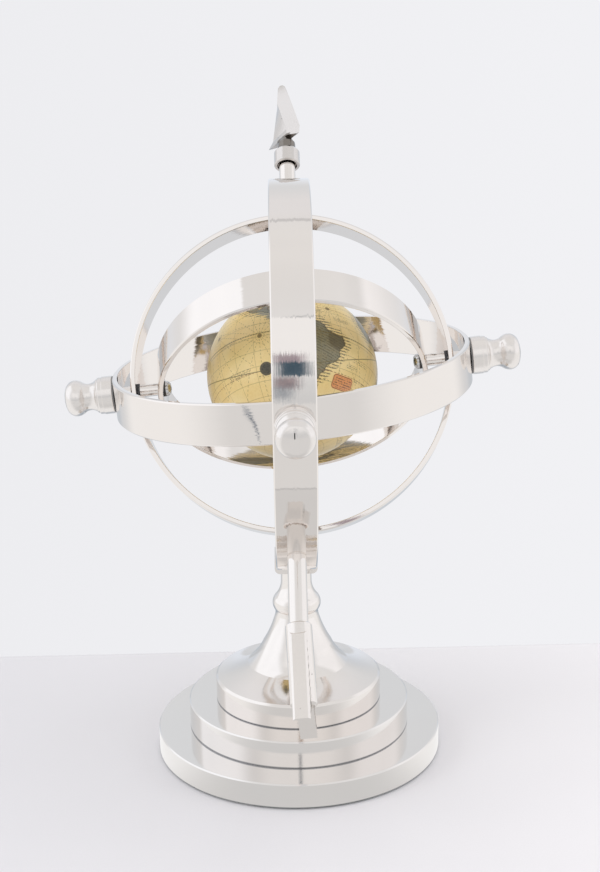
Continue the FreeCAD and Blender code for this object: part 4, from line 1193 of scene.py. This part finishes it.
# ---------------------------------------------------------------- world and lamps
def reflected_room(net, direction, x, elevation):
    """Walls and soft boxes seen in the polished metal, by elevation and azimuth in degrees."""
    azimuth = net.azimuth(x, direction.dot((0.0, 1.0, 0.0)))
    off_front = abs(azimuth)
    left = azimuth < 0.0
    front = off_front.below(42.0, soft=16.0)
    back = off_front.step(140.0, soft=16.0)
    # back wall, cooler towards the horizon
    wall = net.mix(elevation.remap(4.0, 24.0), (0.83, 0.88, 0.96), (0.755, 0.775, 0.80))
    wall = net.mix(elevation.remap(28.0, 48.0), wall, (0.85, 0.85, 0.87))
    flags = off_front.band(143.0, 166.0, soft=6.0) * elevation.below(22.0, soft=8.0)
    front_panel = front * elevation.band(16.0, 46.0, soft=9.0, soft_high=0.5)
    front_join = front * elevation.band(45.75, 46.45, soft=0.2) * azimuth.step(0.55, soft=0.5)
    back_join = elevation.band(66.5, 69.0, soft=0.4) * off_front.step(150.0, soft=10.0)
    left_box = left * off_front.band(58.0, 126.0, soft=13.0, soft_high=5.0)
    right_box = (1.0 - left) * off_front.band(58.0, 128.0, soft=11.0)
    layers = [
        (back * elevation.below(66.0, soft=12.0), wall),
        (flags * 0.25, (0.34, 0.40, 0.46)),
        (front * elevation.below(12.0, soft=12.0), (0.70, 0.71, 0.72)),
        (front_panel, (0.96, 0.96, 0.965)),
        (front_join * 0.6, (0.10, 0.12, 0.14)),
        (back_join * 0.35, (0.30, 0.30, 0.31)),
        (left_box * elevation.below(58.0, soft=1.2), (1.10, 1.12, 1.16)),
        (right_box * elevation.below(41.0, soft=4.0), (1.02, 1.02, 1.04)),
    ]
    sky = net.mix(elevation.step(55.0, soft=30.0), (0.83, 0.835, 0.845), (0.85, 0.845, 0.84))
    for mask, tint in layers:
        sky = net.mix(mask, sky, tint)
    uneven = net.streaks(direction, (1.6, 1.6, 3.0), detail=2.0, rough=0.5)
    return net.scale(sky, uneven.remap(0.3, 0.7, to=(0.97, 1.03)))


def build_world():
    world = bpy.data.worlds.new("studio")
    world.use_nodes = True
    net = Net(world.node_tree)
    direction = net.vector("NORMALIZE", net.add("TexCoord", output="Generated"))
    x = direction.dot((1.0, 0.0, 0.0))
    elevation = net.math("ARCSINE", direction.dot((0.0, 0.0, 1.0))) * DEGREES
    fill = net.mix(elevation.remap(-20, 80), (0.62, 0.62, 0.64), (0.86, 0.855, 0.85))
    # the backdrop the camera sees is painted darker towards the left as painted shade
    room, soft_fill, backdrop = (net.add("Background", {0: color}) for color in (
        reflected_room(net, direction, x, elevation), fill,
        net.mix(x.remap(-0.3, 0.3), *BACKDROP)))
    rays = net.node("LightPath")
    lit = net.mix_shader(Wire(net, rays.outputs["Is Glossy Ray"]), soft_fill, room)
    seen = net.mix_shader(Wire(net, rays.outputs["Is Camera Ray"]), lit, backdrop)
    net.node("OutputWorld", {0: seen})
    return world


def area_lamp(name, at, toward, size, power):
    lamp = bpy.data.lights.new(name, "AREA")
    lamp.shape = "RECTANGLE"
    lamp.size, lamp.size_y = size
    lamp.energy = power
    holder = bpy.data.objects.new(name, lamp)
    holder.location = at
    holder.rotation_euler = (Vector(toward) - Vector(at)).to_track_quat("-Z", "Y").to_euler()
    holder.visible_glossy = False
    scene.collection.objects.link(holder)


scene = bpy.context.scene
scene.world = build_world()
area_lamp("studio_top", at=(0.1, -0.1, 2.0), toward=(0, 0, 0.1), size=(2.2, 1.8), power=9.8)
area_lamp("studio_left", at=(-1.7, -0.9, 1.2), toward=(0, 0, 0.2), size=(1.0, 1.4), power=9.0)
area_lamp("studio_right", at=(1.8, -0.7, 1.1), toward=(0, 0, 0.2), size=(1.0, 1.4), power=4.2)


# ---------------------------------------------------------------- things seen only by reflection
def stage_reflected(piece, material):
    piece.data.materials.append(material)
    piece.visible_shadow = False
    piece.visible_camera = False


def dark_block(name, offset, width, height, color, streak, fringe):
    """Thin upright block behind the camera whose upper and lower ends break into streaks."""
    size = (width, 0.002, height)
    points = [tuple(sign * length / 2 for sign, length in zip((i, j, k), size))
              for i in (-1, 1) for j in (-1, 1) for k in (-1, 1)]
    block = mesh_object(name, points, [(0, 1, 3, 2), (4, 6, 7, 5), (0, 4, 5, 1), (2, 3, 7, 6),
                                       (0, 2, 6, 4), (1, 5, 7, 3)])
    block.location = [start + shift for start, shift in zip(CAMERA_AT, offset)]
    material, net = new_material(name)
    place = net.add("TexCoord", output="Object")
    streaks = net.streaks(place, (700, 10, 9), detail=2.0, rough=0.6)
    body = net.add("Emission", {0: net.mix(streaks.remap(0.4, 0.6), color, streak)})
    x, _, z = net.xyz(place)
    ragged = net.streaks(place, (650, 0, 0), detail=2.0, rough=0.7)
    end = ragged.remap(0.3, 0.7, to=(height / 2 - fringe, height / 2))
    past_end = (abs(z) - end).step(-fringe * 0.25, soft=fringe * 0.25)
    past_side = (abs(x) - (width / 2 - 0.002)).step(0.0, soft=0.002)
    gone = net.math("MAXIMUM", past_end, past_side)
    net.node("OutputMaterial", {0: net.mix_shader(gone, body, net.add("BsdfTransparent"))})
    stage_reflected(block, material)


# name, offset from the camera, width, height, color, streak color, ragged length
DARK_BLOCKS = [
    ("studio_camera", (0.015, -0.060, 0.074), 0.040, 0.180,
     (0.018, 0.044, 0.070), (0.110, 0.160, 0.205), 0.030),
    ("studio_hands", (0.010, -0.064, 0.175), 0.040, 0.260,
     (0.50, 0.41, 0.43), (0.24, 0.21, 0.25), 0.110),
    ("studio_stand", (0.006, -0.064, -0.060), 0.032, 0.250,
     (0.50, 0.38, 0.38), (0.13, 0.15, 0.18), 0.100),
    ("studio_leg", (0.001, -0.066, -0.140), 0.026, 0.360,
     (0.50, 0.52, 0.54), (0.26, 0.29, 0.33), 0.160),
]
for block in DARK_BLOCKS:
    dark_block(*block)

# (x, y) of the cable's middle line on the table in front
CABLE_ROUTE = [(-462, -828), (-446, -837), (-403, -845), (-366, -842), (-339, -831),
               (-320, -818), (-311, -812), (-300, -800)]
CABLE_SIDES = 8


def add_cable():
    """Thin cable, thickest halfway along."""
    points = []
    last = len(CABLE_ROUTE) - 1
    for i, (x, y) in enumerate(CABLE_ROUTE):
        before, after = CABLE_ROUTE[max(i - 1, 0)], CABLE_ROUTE[min(i + 1, last)]
        way = unit((after[0] - before[0], after[1] - before[1], 0.0))
        thick = 1.2 + 2.6 * math.sin(math.pi * i / last)
        for k in range(CABLE_SIDES):
            angle = k * math.pi / 4
            across = thick * math.cos(angle)
            point = (x - way[1] * across, y + way[0] * across,
                     thick + 0.2 + thick * math.sin(angle))
            points.append(tuple(value * MM for value in point))
    faces = []
    for start in range(0, last * CABLE_SIDES, CABLE_SIDES):
        for k in range(CABLE_SIDES):
            following = (k + 1) % CABLE_SIDES
            faces.append((start + k, start + following, start + CABLE_SIDES + following,
                          start + CABLE_SIDES + k))
    cable = mesh_object("studio_cable", points, faces)
    material, net = new_material("studio_cable")
    patches = net.noise(net.add("TexCoord", output="Object"), scale=30.0, detail=2.0, rough=0.5)
    color = net.mix(patches, (0.05, 0.08, 0.13), (0.12, 0.16, 0.22))
    net.node("OutputMaterial", {0: net.add("Emission", {0: color})})
    stage_reflected(cable, material)


add_cable()


# ---------------------------------------------------------------- camera
def add_camera():
    # yaw turns right from +Y, pitch looks down, roll is about the line of sight
    yaw, pitch, roll = (math.radians(angle) for angle in (0.6985, 15.7959, -1.0216))
    forward = Vector((math.sin(yaw) * math.cos(pitch), math.cos(yaw) * math.cos(pitch),
                      -math.sin(pitch)))
    level = Vector((math.cos(yaw), -math.sin(yaw), 0))
    upright = level.cross(forward)
    right = level * math.cos(roll) + upright * math.sin(roll)
    top = -level * math.sin(roll) + upright * math.cos(roll)
    data = bpy.data.cameras.new("camera")
    camera = bpy.data.objects.new("camera", data)
    scene.collection.objects.link(camera)
    turn = Matrix((right, top, -forward)).transposed().to_4x4()
    camera.matrix_world = Matrix.Translation(CAMERA_AT) @ turn
    data.sensor_fit = "VERTICAL"
    data.sensor_height = 36.0
    data.lens = 63.861812
    data.clip_start, data.clip_end = 0.01, 50.0
    scene.camera = camera


add_camera()
scene.view_settings.view_transform = "Standard"
